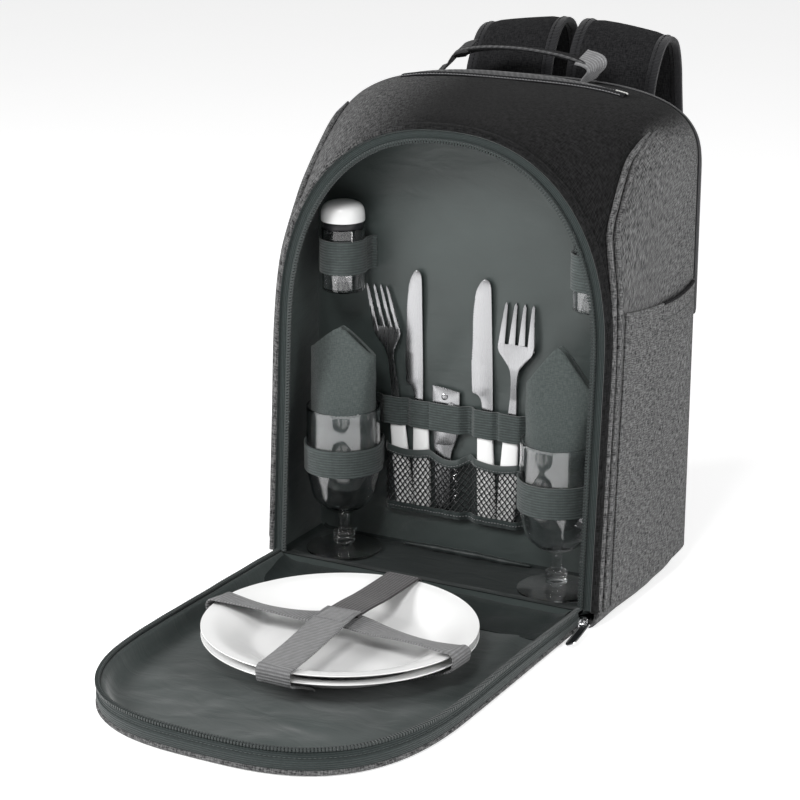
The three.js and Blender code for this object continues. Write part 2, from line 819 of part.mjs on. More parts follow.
// A folded napkin: a flattened cone of cloth with a pointed top, open inside
function makeNapkin(k) {
  const x = gobletX[k];
  const rim = openLow + gobletHeight;
  const shoulder = napkinShoulder[k];
  const peak = napkinTop[k];
  // height, half width, half depth of the fold
  const course = [
    [62, 13, 11], [84, 25, 20], [rim - 22, 29.6, 24], [rim - 4, 28.6, 21], [rim + 12, napkinHalf, 15],
    [lerp(rim, shoulder, 0.65), napkinHalf, 9], [shoulder, napkinHalf, 5],
  ];
  const sides = 14;
  const rows = course.map(([z, wide, deep]) => {
    const row = [];
    for (let i = 0; i < sides; i++) {
      const a = (i / sides) * Math.PI * 2;
      row.push(vec(x + wide * Math.cos(a), gobletY + deep * Math.sin(a), z));
    }
    return row;
  });
  const point = (t) => rows[rows.length - 1].map((p) => {
    const reach = Math.abs(p.x - x) / napkinHalf;
    const z = Math.min(lerp(shoulder, peak, t), peak - (peak - shoulder) * reach);
    return vec(lerp(p.x, x + (p.x - x) * (1 - 0.1 * t), 1), lerp(p.y, gobletY + (p.y - gobletY) * 0.7, t),
      Math.max(z, shoulder + 0.8 * t));
  });
  rows.push(point(0.5));
  rows.push(point(1));
  return cloth(rows, napkinWall, true);
}

// Elastic loop round a vessel, its ends sewn to the compartment wall; a tucked end
// turns in behind the vessel instead of outward
function makeLoop(x, y, radius, low, high, tuckRight = false) {
  const reach = radius + loopThick / 2 + 0.45;
  const sewn = wallDepth - seamGap - loopThick / 2;
  const middle = Math.min(y, sewn - 4);
  const bend = 12;
  const sweep = Math.PI + (tuckRight ? 0.68 : 0);
  const course = [vec(x - reach - 6, sewn, 0), vec(x - reach - 1.5, sewn - 0.6, 0)];
  for (let i = 0; i <= bend; i++) {
    const a = Math.PI + (i / bend) * sweep;
    course.push(vec(x + reach * Math.cos(a), middle + reach * Math.sin(a), 0));
  }
  if (tuckRight) {
    course.push(vec(x + reach * 0.69, sewn - 5, 0), vec(x + reach * 0.6, sewn - 0.6, 0));
    course.push(vec(x + reach * 0.47, sewn, 0));
  } else {
    course.push(vec(x + reach + 1.5, sewn - 0.6, 0), vec(x + reach + 6, sewn, 0));
  }
  const rows = [low, high].map((z) => course.map((p) => vec(p.x, p.y, z)));
  return cloth(rows, loopThick);
}

function makeShaker(k) {
  const low = shakerLow[k];
  const r = shakerRadius;
  const top = low + shakerBody;
  return turned([
    [0, low], [r - 2, low], [r, low + 2], [r, top],
    [r - shakerWall, top], [r - shakerWall, low + 3], [r - 3.4, low + shakerWall + 0.4],
    [0, low + shakerWall + 0.4],
  ], 16, shakerX[k], shakerY);
}

function makeCap(k) {
  const low = shakerLow[k] + shakerBody + seamGap;
  const r = capRadius;
  return turned([
    [0, low], [r - 1, low], [r - 1, low + 2.4], [r, low + 3], [r, low + 13],
    [r - 1.6, low + 17.5], [r - 5.5, low + capHeight - 0.8], [0, low + capHeight],
  ], 16, shakerX[k], shakerY);
}

// Plan of one held piece: foot, lean to the right per unit of height
const ware = {
  fork_left: { x: -61, z: 41.5, lean: -0.105 },
  knife_left: { x: -43.5, z: 42.5, lean: -0.02 },
  knife_right: { x: 15, z: 41.4, lean: -0.032 },
  fork_right: { x: 31.4, z: 42.3, lean: 0.0565 },
};

function leanOver(geometry, plan) {
  geometry.applyMatrix4(new THREE.Matrix4().set(
    1, 0, plan.lean, plan.x, 0, 1, 0, 0, 0, 0, 1, plan.z, 0, 0, 0, 1,
  ));
  return geometry;
}

// Moulded handle, broad at its foot and slim under the collar
function makeHandleGrip(plan) {
  const length = wareTop - plan.z;
  // share of the length, half width, half thickness
  const table = [
    [0, 5.6, 1.9], [0.03, 7.7, 2.3], [0.3, 7.9, 2.3], [0.7, 7, 2.2], [1, 6.4, 2.1],
  ];
  const rings = table.map(([t, wide, deep]) => {
    const ring = [];
    for (let i = 0; i < 10; i++) {
      const a = ((i + 0.5) / 10) * Math.PI * 2;
      ring.push(vec(wide * Math.cos(a), wareY + deep * Math.sin(a), t * length));
    }
    return ring;
  });
  return leanOver(stack(rings), plan);
}

function makeKnifeBlade(plan) {
  const low = wareTop - plan.z + seamGap;
  const tip = 241.5 - plan.z;
  return leanOver(cutOut([
    [-2.7, low], [4.9, low], [5.4, low + 40], [5.4, tip - 10], [4.4, tip - 2.5], [2, tip],
    [-2.7, tip - 4], [-6, tip - 12], [-8.4, tip - 28], [-9.2, tip - 52], [-10.2, low + 42],
    [-10.3, low + 22], [-9.6, low + 20.4], [-5.4, low + 18.6], [-3.2, low + 14],
  ], wareY, bladeThick), plan);
}

function makeForkHead(plan) {
  const low = wareTop - plan.z + seamGap;
  const neck = low + 46;
  const root = low + 62;
  const tip = low + 98;
  const half = 12.2;
  const tine = 4.4;
  const step = (half * 2 - tine) / 3;
  const outline = [[-4.4, low], [4.4, low], [2.7, low + 24], [3.2, neck], [8, neck + 7], [half, root]];
  for (let i = 3; i >= 0; i--) {
    const x = -half + i * step;
    outline.push([x + tine, root + 6]);
    outline.push([x + tine - 0.9, tip - 3]);
    outline.push([x + tine / 2, tip]);
    outline.push([x + 0.9, tip - 3]);
    outline.push([x, root + 6]);
    if (i > 0) outline.push([x - (step - tine) / 2, root + 2.5]);
  }
  outline.push([-half, root], [-8, neck + 7], [-3.2, neck], [-2.7, low + 24]);
  return leanOver(cutOut(outline, wareY, bladeThick), plan);
}

// Folded opener: a body with a cap lifter and the worm lying along it
const openerX = -22;

function makeOpenerBody() {
  const body = [
    [-6, 43], [0, 43], [3.4, 50], [4.2, 92], [9, 106], [11.6, 118], [12, 144], [10.5, 146.4],
    [-10, 148.6], [-12.2, 146.6], [-12, 118], [-10.4, 96], [-8.8, 48],
  ];
  return cutOut(body.map(([x, z]) => [x + openerX, z]), wareY, wareThick);
}

function makeOpenerWorm() {
  const path = [];
  for (let i = 0; i <= 24; i++) {
    const a = (i / 24) * Math.PI * 6;
    path.push(vec(openerX + 9 + 2 * Math.cos(a), wareY + 1.5 * Math.sin(a), lerp(86, 52, i / 24)));
  }
  return cord(path, 0.9, 4);
}

// Places on the wall where the elastic and the net are sewn down, and where they stand off
const bandCourse = [
  [-86, 0], [-82, 0.1], [-77.5, 1], [-62, 1], [-56.5, 0.35], [-52, 1], [-39, 1], [-37, 0.7],
  [-35, 1], [-9, 1], [-3, 0], [1, 0], [4.5, 1], [20, 1], [24, 0.5], [27.5, 1], [44, 1], [48.5, 0.1],
  [53, 0],
];

function wallCloth(course, low, high, thickness, standOff, rows) {
  const sewn = wallDepth - seamGap - thickness / 2;
  const proud = wareY - wareThick / 2 - 0.5 - thickness / 2 - standOff;
  const grid = [];
  for (let j = 0; j <= rows; j++) {
    const z = lerp(low, high, j / rows);
    grid.push(course.map(([x, out]) => vec(x, lerp(sewn, proud, out), z)));
  }
  return cloth(grid, thickness);
}

function makeCutleryBand() {
  return wallCloth(bandCourse, bandLow, bandHigh, bandThick, 0, 1);
}

const netCourse = [
  [-77.2, 0], [-76.2, 0.1], [-73.4, 1], [-37, 1], [-33.5, 1], [-8, 1], [-3, 0.15], [1, 0.15],
  [6, 1], [43, 1], [46.4, 0.1], [48, 0],
];

function makeNet() {
  return wallCloth(netCourse, netLow + 6.4, netHigh - 4.4, netThick, 0, 2);
}

function makeNetBinding(low, high) {
  return wallCloth(netCourse, low, high, 1.6, 0.2, 1);
}

// Zip slider at a lower corner of the opening; the left tab points out, the right one
// lies along the edge of the flap
function makeSlider(side) {
  const x = (openHalf + 1) * side;
  const body = [
    block(x - 4.5, x + 4.5, -7.4, -1, 2.6, 9.6),
    block(x - 2.5, x + 2.5, -7, -1.4, 9, 9.9),
  ];
  if (side < 0) {
    body.push(block(x - 15, x - 3, -6.8, -2.2, 5, 6.6));
  } else {
    const tab = block(0, 7.2, -38, 0, -0.8, 0.8);
    tab.rotateX(0.1);
    tab.translate(x + 1.4, -5, 7);
    body.push(tab);
  }
  return fuse(body);
}

addNode('body_shell', makeShell(), 'heather');
addNode('back_panel', makeBackPanel(), 'black');
addNode('compartment_liner', makeLiner(), 'satin');
addNode('floor_seam', makeFloorSeam(), 'satin');
addNode('zip_tape_body', makeBodyTape(), 'tape');
addNode('zip_coil_body', makeBodyCoil(), 'tape');
addNode('side_pocket_left', makeSidePocket(-1), 'heather');
addNode('side_pocket_right', makeSidePocket(1), 'heather');
addNode('corner_fold_left', makeCornerFold(-1), 'heatherDark');
addNode('corner_fold_right', makeCornerFold(1), 'heatherDark');
addNode('rear_zip_band', makeRearBand(), 'black');
addNode('top_seam', makeTopSeam(), 'heatherDark');
addNode('top_twill', makeTopTwill(), 'webbing');
addNode('carry_handle', makeHandle(), 'heatherDark');
addNode('handle_tab_left', makeHandleTab(-1), 'webbing');
addNode('handle_tab_right', makeHandleTab(1), 'webbing');
addNode('shoulder_strap_left', makeStrap(0), 'heatherDark');
addNode('shoulder_strap_right', makeStrap(1), 'heatherDark');
addNode('strap_buckle_left', makeBuckle(0), 'black');
addNode('strap_buckle_right', makeBuckle(1), 'black');
addNode('lower_webbing_left', makeLowerWeb(0), 'black');
addNode('lower_webbing_right', makeLowerWeb(1), 'black');
addNode('flap_outer', makeFlapOuter(), 'heather');
addNode('flap_band', makeFlapBand(), 'tape');
addNode('zip_coil_flap', makeFlapCoil(), 'tape');
addNode('flap_lining', makeFlapLining(), 'satin');
addNode('flap_hinge', makeHinge(), 'satin');
addNode('zip_slider_left', makeSlider(-1), 'zinc');
addNode('zip_slider_right', makeSlider(1), 'zinc');
addNode('plate_lower', makePlate(plateLow), 'white');
addNode('plate_upper', makePlate(plateLow + plateNest), 'white');
addNode('plate_strap_cross', makeCrossStrap(), 'webbing');
addNode('plate_strap_front', makeLongStrap(true), 'webbing');
addNode('plate_strap_back', makeLongStrap(false), 'hookTape');
addNode('goblet_left', makeGoblet(0), 'clear');
addNode('goblet_right', makeGoblet(1), 'clear');
addNode('napkin_left', makeNapkin(0), 'napkin');
addNode('napkin_right', makeNapkin(1), 'napkin');
[0, 1].forEach((k) => {
  const side = k === 0 ? 'left' : 'right';
  const gobletLoop = makeLoop(
    gobletX[k], gobletY, gobletBowl, gobletLoopLow[k], gobletLoopHigh[k], k === 0,
  );
  const shakerHigh = shakerLoopLow[k] + shakerLoopTall;
  const shakerLoop = makeLoop(shakerX[k], shakerY, shakerRadius, shakerLoopLow[k], shakerHigh);
  addNode(`goblet_loop_${side}`, gobletLoop, 'elastic');
  addNode(`shaker_loop_${side}`, shakerLoop, 'elastic');
  addNode(`shaker_body_${side}`, makeShaker(k), 'clear');
  addNode(`shaker_cap_${side}`, makeCap(k), 'white');
  addNode(`fork_head_${side}`, makeForkHead(ware[`fork_${side}`]), 'steel');
  addNode(`fork_handle_${side}`, makeHandleGrip(ware[`fork_${side}`]), 'white');
  addNode(`knife_blade_${side}`, makeKnifeBlade(ware[`knife_${side}`]), 'steel');
  addNode(`knife_handle_${side}`, makeHandleGrip(ware[`knife_${side}`]), 'white');
});
addNode('opener_body', makeOpenerBody(), 'steel');
addNode('opener_worm', makeOpenerWorm(), 'steel');
addNode('cutlery_band', makeCutleryBand(), 'elastic');
addNode('net_pocket', makeNet(), 'net');
addNode('net_top_binding', makeNetBinding(netHigh - 4, netHigh), 'elastic');
addNode('net_foot_binding', makeNetBinding(netLow, netLow + 6), 'elastic');

export default group;
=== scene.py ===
import math

import bmesh
import bpy
import numpy as np
from mathutils import Matrix, Vector, noise


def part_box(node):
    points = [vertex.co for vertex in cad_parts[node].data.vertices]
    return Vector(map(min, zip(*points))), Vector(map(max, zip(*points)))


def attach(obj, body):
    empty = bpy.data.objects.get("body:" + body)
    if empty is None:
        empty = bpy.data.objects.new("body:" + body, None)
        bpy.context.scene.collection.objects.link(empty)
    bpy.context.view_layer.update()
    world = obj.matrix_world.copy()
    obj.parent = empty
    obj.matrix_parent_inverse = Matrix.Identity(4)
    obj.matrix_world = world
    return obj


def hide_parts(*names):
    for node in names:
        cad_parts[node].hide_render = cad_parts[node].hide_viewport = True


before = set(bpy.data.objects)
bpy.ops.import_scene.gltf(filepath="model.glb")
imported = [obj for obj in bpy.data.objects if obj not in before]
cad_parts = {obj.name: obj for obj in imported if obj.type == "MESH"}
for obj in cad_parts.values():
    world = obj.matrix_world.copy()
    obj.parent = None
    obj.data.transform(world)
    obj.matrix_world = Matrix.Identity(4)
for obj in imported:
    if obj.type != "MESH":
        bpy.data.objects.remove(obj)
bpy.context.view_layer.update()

# Lengths are in millimetres and depths run from the lower front edge of the bag, as in
# the solids; place() turns them into the row frame.
DEPTH = 190
LEAN = 0.0712
GAP = 0.3
# points round a shell ring on its base, lower corner, upright and arch, and the ring's parts
SHELL_STEPS = (10, 6, 26, 40)
RIGHT_FLANK = slice(16, 83)
TOP_ARC = slice(42, 125)

# depth share, half width, top, shoulder height, roundness, lift of the base, base corner
SHELL = np.array([
    [0.00, 143.4, 369.0, 168.0, 2.28, 0, 7],
    [0.06, 146.0, 374.0, 160.0, 2.32, 0, 11],
    [0.22, 147.5, 380.5, 124.0, 2.55, 0, 14],
    [0.42, 148.0, 385.0, 88.0, 2.9, 0, 14],
    [0.68, 148.0, 387.0, 66.0, 3.3, 0, 14],
    [0.84, 146.5, 386.0, 62.0, 3.3, 3, 16],
    [0.94, 142.0, 381.5, 62.0, 3.0, 10, 20],
    [1.00, 134.0, 374.5, 62.0, 2.8, 20, 24],
])
WALL_Y = 75
# depth, half width, top, shoulder height, roundness, corner of the floor
LINER = np.array([
    [0, 132.5, 359.3, 158.7, 2.27, 6],
    [5, 137.0, 361.5, 158.0, 2.3, 6],
    [13, 140.5, 365.0, 150.0, 2.35, 7],
    [WALL_Y, 141.0, 371.0, 110.0, 2.6, 8],
])
FLOOR_Z = 8.2
OPEN = (132.5, 359.3, 158.7, 2.27)
FLAP_HALF, FLAP_HINGE, FLAP_END, FLAP_ROUND, FLAP_POWER = 132.5, -8, -332, 157, 2.9
PLATE_Y, PLATE_R, PLATE_DEEP = -139, 102, 17
LINING_Z = 3.5
PLATE_LOW = 3.8
PLATE_NEST = 6.5
GOBLET_X, GOBLET_Y, GOBLET_BOWL, GOBLET_RIM, GOBLET_TALL = (-99.4, 91), 41.2, 30.2, 29.7, 122.5
SHAKER_X, SHAKER_Y, SHAKER_LOW = (-107, 111.5), 56, (222, 233)
WARE_Y = 71.6
WARE_TOP = 127


def place(points):
    a = np.asarray(points, float).reshape(-1, 3).copy()
    a[:, 1] -= DEPTH / 2
    return a * 0.001


def lerp(a, b, t):
    return a + (b - a) * t


def spline(points, steps):
    """Evenly spaced points along a smooth curve through the given ones."""
    p = np.asarray(points, float)
    q = np.vstack([2 * p[0] - p[1], p, 2 * p[-1] - p[-2]])
    out = []
    for k in range(1, len(q) - 2):
        a, b, c, d = q[k - 1:k + 3]
        for t in np.linspace(0, 1, 24, endpoint=False):
            out.append(0.5 * (2 * b + (c - a) * t + (2 * a - 5 * b + 4 * c - d) * t * t
                              + (3 * b - a - 3 * c + d) * t ** 3))
    out.append(p[-1])
    out = np.array(out)
    run = np.r_[0, np.cumsum(np.linalg.norm(np.diff(out, axis=0), axis=1))]
    want = np.linspace(0, run[-1], steps + 1)
    return np.stack([np.interp(want, run, out[:, k]) for k in range(out.shape[1])], 1)


def ease(table, x):
    """Row of a table at x in its first column, with a smooth run between the rows."""
    t = np.asarray(table, float)
    x = float(np.clip(x, t[0, 0], t[-1, 0]))
    k = int(np.clip(np.searchsorted(t[:, 0], x) - 1, 0, len(t) - 2))
    h = t[k + 1, 0] - t[k, 0]
    u = (x - t[k, 0]) / h

    def slope(i):
        lo, hi = max(i - 1, 0), min(i + 1, len(t) - 1)
        s = (t[hi] - t[lo]) / (t[hi, 0] - t[lo, 0])
        if 0 < i < len(t) - 1:
            d0 = (t[i] - t[i - 1]) / (t[i, 0] - t[i - 1, 0])
            d1 = (t[i + 1] - t[i]) / (t[i + 1, 0] - t[i, 0])
            s = np.where(d0 * d1 <= 0, 0, np.sign(s) * np.minimum(abs(s),
                3 * np.minimum(abs(d0), abs(d1))))
        return s

    m0, m1 = slope(k) * h, slope(k + 1) * h
    u2, u3 = u * u, u ** 3
    return ((2 * u3 - 3 * u2 + 1) * t[k] + (u3 - 2 * u2 + u) * m0
            + (3 * u2 - 2 * u3) * t[k + 1] + (u3 - u2) * m1)


def rough(p, scale, seed=0.0):
    v = Vector((p[0] / scale + seed, p[1] / scale - seed, p[2] / scale + 2 * seed))
    return noise.noise(v)


# Materials

def tree(name):
    m = bpy.data.materials.new(name)
    m.use_nodes = True
    nt = m.node_tree
    nt.nodes.clear()
    out = nt.nodes.new("ShaderNodeOutputMaterial")
    bsdf = nt.nodes.new("ShaderNodeBsdfPrincipled")
    nt.links.new(bsdf.outputs[0], out.inputs[0])
    return m, nt, bsdf


def node(nt, kind, **sockets):
    n = nt.nodes.new("ShaderNode" + kind)
    for key, value in sockets.items():
        if key.startswith("_"):
            setattr(n, key[1:], value)
    for key, value in sockets.items():
        if not key.startswith("_"):
            s = n.inputs[int(key[1:])] if key[0] == "i" and key[1:].isdigit() else n.inputs[key]
            if isinstance(value, bpy.types.NodeSocket):
                nt.links.new(value, s)
            else:
                s.default_value = value
    return n


def settle(bsdf, values):
    for key, value in values.items():
        bsdf.inputs[key].default_value = value


def coords(nt, scale, use_uv=True, turn=0.0):
    tc = node(nt, "TexCoord")
    mp = node(nt, "Mapping")
    nt.links.new(tc.outputs["UV" if use_uv else "Object"], mp.inputs["Vector"])
    mp.inputs["Scale"].default_value = scale
    mp.inputs["Rotation"].default_value = (0, 0, turn)
    return mp.outputs[0]


def mixed(nt, a, b, fac, mode="MIX"):
    n = nt.nodes.new("ShaderNodeMix")
    n.data_type = "RGBA"
    n.blend_type = mode
    for i, v in ((6, a), (7, b)):
        if isinstance(v, bpy.types.NodeSocket):
            nt.links.new(v, n.inputs[i])
        else:
            n.inputs[i].default_value = (*v, 1)
    if isinstance(fac, bpy.types.NodeSocket):
        nt.links.new(fac, n.inputs[0])
    else:
        n.inputs[0].default_value = fac
    return n.outputs[2]


def ramp(nt, fac, low, high):
    n = node(nt, "MapRange", Value=fac)
    n.inputs[1].default_value = low
    n.inputs[2].default_value = high
    return n.outputs[0]


def math_node(nt, op, a, b):
    n = nt.nodes.new("ShaderNodeMath")
    n.operation = op
    for i, v in ((0, a), (1, b)):
        if isinstance(v, bpy.types.NodeSocket):
            nt.links.new(v, n.inputs[i])
        else:
            n.inputs[i].default_value = v
    return n.outputs[0]


def bump(nt, bsdf, height, strength, distance, before=None):
    n = node(nt, "Bump", Strength=strength, Distance=distance, Height=height)
    if before is not None:
        nt.links.new(before, n.inputs["Normal"])
    nt.links.new(n.outputs[0], bsdf.inputs["Normal"])
    return n.outputs[0]


def cloth_material(name, dark, light, thread=0.0006, use_uv=True, sheen=0.25, rough_=0.92,
    paint_shade=False):
    """Heather cloth: light and dark threads mixed in two directions, with a fine weave."""
    m, nt, bsdf = tree(name)
    k = 1 / thread
    warp = node(nt, "TexNoise", Vector=coords(nt, (k * 0.9, k * 0.14, k * 0.5), use_uv),
        Scale=1.0, Detail=2.0)
    weft = node(nt, "TexNoise", Vector=coords(nt, (k * 0.14, k * 0.9, k * 0.5), use_uv),
        Scale=1.0, Detail=2.0)
    broad = node(nt, "TexNoise", Vector=coords(nt, (22, 22, 22), use_uv), Scale=1.0, Detail=3.0)
    both = math_node(nt, "MULTIPLY", math_node(nt, "ADD", ramp(nt, warp.outputs[0], 0.42, 0.6),
        ramp(nt, weft.outputs[0], 0.42, 0.6)), 0.5)
    base = mixed(nt, dark, light, both)
    shade = ramp(nt, broad.outputs[0], 0.2, 0.8)
    base = mixed(nt, base, mixed(nt, base, (0.5, 0.5, 0.5), 1.0, "MULTIPLY"),
        math_node(nt, "MULTIPLY", shade, 0.25))
    # If set, the point attribute shade darkens the colour down to 0.09 of itself: painted shade.
    if paint_shade:
        depth = node(nt, "Attribute", _attribute_name="shade")
        base = mixed(nt, base, mixed(nt, base, (0.09, 0.09, 0.092), 1.0, "MULTIPLY"),
            depth.outputs["Fac"])
    nt.links.new(base, bsdf.inputs["Base Color"])
    settle(bsdf, {"Roughness": rough_, "Sheen Weight": sheen, "Sheen Roughness": 0.5,
        "Specular IOR Level": 0.09})
    a = node(nt, "TexWave", Vector=coords(nt, (k, k, k), use_uv), Scale=0.5, _bands_direction="X")
    b = node(nt, "TexWave", Vector=coords(nt, (k, k, k), use_uv), Scale=0.5, _bands_direction="Y")
    weave = math_node(nt, "ADD", math_node(nt, "MULTIPLY", a.outputs[1], b.outputs[1]), both)
    bump(nt, bsdf, weave, 0.55, 0.0004)
    return m


def satin_material(name, color, use_uv=True, sheen=0.45, shine=0.55):
    m, nt, bsdf = tree(name)
    broad = node(nt, "TexNoise", Vector=coords(nt, (9, 14, 9), use_uv), Scale=1.0, Detail=4.0)
    fine = node(nt, "TexNoise", Vector=coords(nt, (900, 300, 500), use_uv), Scale=1.0, Detail=2.0)
    base = mixed(nt, tuple(c * 0.8 for c in color), tuple(c * 1.25 for c in color),
        ramp(nt, broad.outputs[0], 0.3, 0.7))
    base = mixed(nt, base, tuple(c * 1.2 for c in color), math_node(nt, "MULTIPLY",
        fine.outputs[0], 0.35))
    nt.links.new(base, bsdf.inputs["Base Color"])
    settle(bsdf, {"Roughness": 0.44, "Sheen Weight": sheen, "Sheen Roughness": 0.4,
        "Specular IOR Level": shine})
    crease = node(nt, "TexNoise", Vector=coords(nt, (26, 60, 40), use_uv, 0.4), Scale=1.0,
        Detail=3.0, Distortion=0.6)
    n = bump(nt, bsdf, crease.outputs[0], 0.2, 0.004)
    rib = node(nt, "TexWave", Vector=coords(nt, (2200, 2200, 2200), use_uv), Scale=0.5,
        _bands_direction="DIAGONAL")
    bump(nt, bsdf, rib.outputs[1], 0.12, 0.0002, n)
    return m


def ribbed_material(name, color, pitch=0.0012, direction="Y", light=1.5, rough_=0.85, strength=0.7,
    cross=False):
    """Woven tape, webbing or elastic with ribs at an even pitch along its texture."""
    m, nt, bsdf = tree(name)
    k = 0.63 / pitch
    rib = node(nt, "TexWave", Vector=coords(nt, (k, k, k)), Scale=0.5, Distortion=0.4,
        _bands_direction=direction)
    other = "X" if direction == "Y" else "Y"
    fine = node(nt, "TexWave", Vector=coords(nt, (k * 1.7, k * 1.7, k)), Scale=0.5,
        _bands_direction=other)
    speck = node(nt, "TexNoise", Vector=coords(nt, (k * 0.8, k * 0.8, k)), Scale=1.0, Detail=2.0)
    height = rib.outputs[1]
    height = math_node(nt, "MULTIPLY" if cross else "ADD", height,
        fine.outputs[1] if cross else math_node(nt, "MULTIPLY", fine.outputs[1], 0.25))
    base = mixed(nt, tuple(c * 0.55 for c in color), tuple(min(1, c * light) for c in color),
        math_node(nt, "MULTIPLY", height, speck.outputs[0]))
    nt.links.new(base, bsdf.inputs["Base Color"])
    settle(bsdf, {"Roughness": rough_, "Sheen Weight": 0.2, "Specular IOR Level": 0.25})
    bump(nt, bsdf, height, strength, 0.0004)
    return m


def plastic_material(name, color, rough_=0.25, use_uv=False):
    m, nt, bsdf = tree(name)
    n = node(nt, "TexNoise", Vector=coords(nt, (30, 30, 30), use_uv), Scale=1.0, Detail=2.0)
    base = mixed(nt, tuple(c * 0.97 for c in color), color, n.outputs[0])
    nt.links.new(base, bsdf.inputs["Base Color"])
    rn = node(nt, "TexNoise", Vector=coords(nt, (160, 160, 160), use_uv), Scale=1.0, Detail=3.0)
    nt.links.new(ramp_to(nt, rn.outputs[0], rough_ * 0.85, rough_ * 1.25),
        bsdf.inputs["Roughness"])
    bump(nt, bsdf, rn.outputs[0], 0.03, 0.0003)
    return m


def ramp_to(nt, fac, low, high):
    n = node(nt, "MapRange", Value=fac)
    n.inputs[3].default_value = low
    n.inputs[4].default_value = high
    return n.outputs[0]


def clear_material(name, color):
    m, nt, bsdf = tree(name)
    n = node(nt, "TexNoise", Vector=coords(nt, (60, 60, 60), False), Scale=1.0, Detail=2.0)
    nt.links.new(mixed(nt, color, tuple(min(1, c * 1.03) for c in color), n.outputs[0]),
        bsdf.inputs["Base Color"])
    settle(bsdf, {"Transmission Weight": 1.0, "IOR": 1.14, "Roughness": 0.02,
        "Specular IOR Level": 0.7, "Coat Weight": 1.0, "Coat IOR": 1.7, "Coat Roughness": 0.03})
    bump(nt, bsdf, n.outputs[0], 0.02, 0.0005)
    return m


def metal_material(name, color, rough_=0.22, scratch=0.15):
    m, nt, bsdf = tree(name)
    line = node(nt, "TexNoise", Vector=coords(nt, (1500, 400, 40), False), Scale=1.0, Detail=3.0)
    nt.links.new(mixed(nt, tuple(c * 0.85 for c in color), color, line.outputs[0]),
        bsdf.inputs["Base Color"])
    bsdf.inputs["Metallic"].default_value = 1.0
    nt.links.new(ramp_to(nt, line.outputs[0], rough_ * 0.8, rough_ * 1.3),
        bsdf.inputs["Roughness"])
    bump(nt, bsdf, line.outputs[0], scratch, 0.0002)
    return m


MAT = {"heather": cloth_material("heather", (0.018, 0.018, 0.019), (0.215, 0.215, 0.215), 0.00075,
    # The next heather copy carries painted shade from the point attribute shade, for the front and
    # top panel.
    sheen=0.04), "heather_painted_shade": cloth_material("heather_painted_shade", (0.018, 0.018, 0.019),
    (0.215, 0.215, 0.215), 0.00075, sheen=0.04, paint_shade=True),
    "heather_dark": cloth_material("heather_dark", (0.005, 0.005, 0.006), (0.026, 0.026, 0.027),
    sheen=0.03), "back": cloth_material("back_cloth", (0.006, 0.006, 0.007),
    (0.024, 0.024, 0.025), sheen=0.06), "satin": satin_material("satin", (0.034, 0.044, 0.042)),
    # A darker copy of the satin: painted shade for the compartment floor, the hinge and the floor
    # seam roll.
    "satin_painted_shade": satin_material("satin_painted_shade", (0.013, 0.017, 0.0165), sheen=0.1, shine=0.3),
    "tape": ribbed_material("tape", (0.022, 0.031, 0.03), 0.0015, "Y"),
    "tooth": ribbed_material("tooth", (0.026, 0.034, 0.033), 0.002, "X", rough_=0.45),
    "elastic": ribbed_material("elastic", (0.062, 0.076, 0.074), 0.0022, "Y", 1.35, strength=0.9),
    "webbing": ribbed_material("webbing", (0.21, 0.21, 0.213), 0.0024, "Y", 1.4, strength=1.0),
    "twill": ribbed_material("twill", (0.07, 0.07, 0.072), 0.0026, "DIAGONAL", 1.6),
    "silver_web": ribbed_material("silver_web", (0.22, 0.22, 0.225), 0.0026, "X", 1.5, 0.6, 1.0),
    "hook": ribbed_material("hook_tape", (0.05, 0.046, 0.047), 0.0026, "X", 3.2, 0.95, 0.9, True),
    "black_tape": ribbed_material("black_tape", (0.013, 0.013, 0.015), 0.0012, "Y"),
    "napkin": cloth_material("napkin", (0.056, 0.068, 0.066), (0.094, 0.11, 0.106), 0.0005,
    sheen=0.15), "net": ribbed_material("net", (0.008, 0.009, 0.01), 0.0012, "X"),
    "white": plastic_material("white_plastic", (0.92, 0.92, 0.915), 0.22),
    "black_plastic": plastic_material("black_plastic", (0.012, 0.012, 0.014), 0.4),
    "clear": clear_material("clear_plastic", (0.97, 0.965, 0.985)),
    "steel": metal_material("steel", (0.42, 0.42, 0.43), 0.26),
    "zinc": metal_material("zinc", (0.72, 0.72, 0.73), 0.16, 0.05),
    "thread": plastic_material("thread", (0.62, 0.62, 0.6), 0.7),
    "thread_dark": plastic_material("thread_dark", (0.055, 0.065, 0.064), 0.7),
    "thread_grey": plastic_material("thread_grey", (0.22, 0.22, 0.225), 0.7),}


# Meshes

def piece(name, mesh, mat, slot=None, replaces=(), sharp=40, extra=(), pick=None):
    """One visible piece from (verts, faces, uvs); pick gives each face its material's place."""
    verts, faces, uvs = mesh
    me = bpy.data.meshes.new(name)
    me.from_pydata(place(verts).tolist(), [], faces)
    for key in [mat, *extra]:
        me.materials.append(MAT[key])
    layer = me.uv_layers.new(name="UVMap")
    layer.data.foreach_set("uv", (np.asarray(uvs, float).reshape(-1, 2) * 0.001).ravel())
    if pick is not None:
        me.polygons.foreach_set("material_index", np.asarray(pick, np.int32))
    bm = bmesh.new()
    bm.from_mesh(me)
    bmesh.ops.recalc_face_normals(bm, faces=bm.faces)
    bm.to_mesh(me)
    bm.free()
    me.shade_smooth()
    me.set_sharp_from_angle(angle=math.radians(sharp))
    o = bpy.data.objects.new(name, me)
    bpy.context.scene.collection.objects.link(o)
    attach(o, "root")
    if replaces:
        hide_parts(*([replaces] if isinstance(replaces, str) else replaces))
    return o


def run_lengths(G, axis):
    d = np.linalg.norm(np.diff(G, axis=axis), axis=2)
    mean = d.mean(axis=1 - axis)
    return np.r_[0, np.cumsum(mean)]


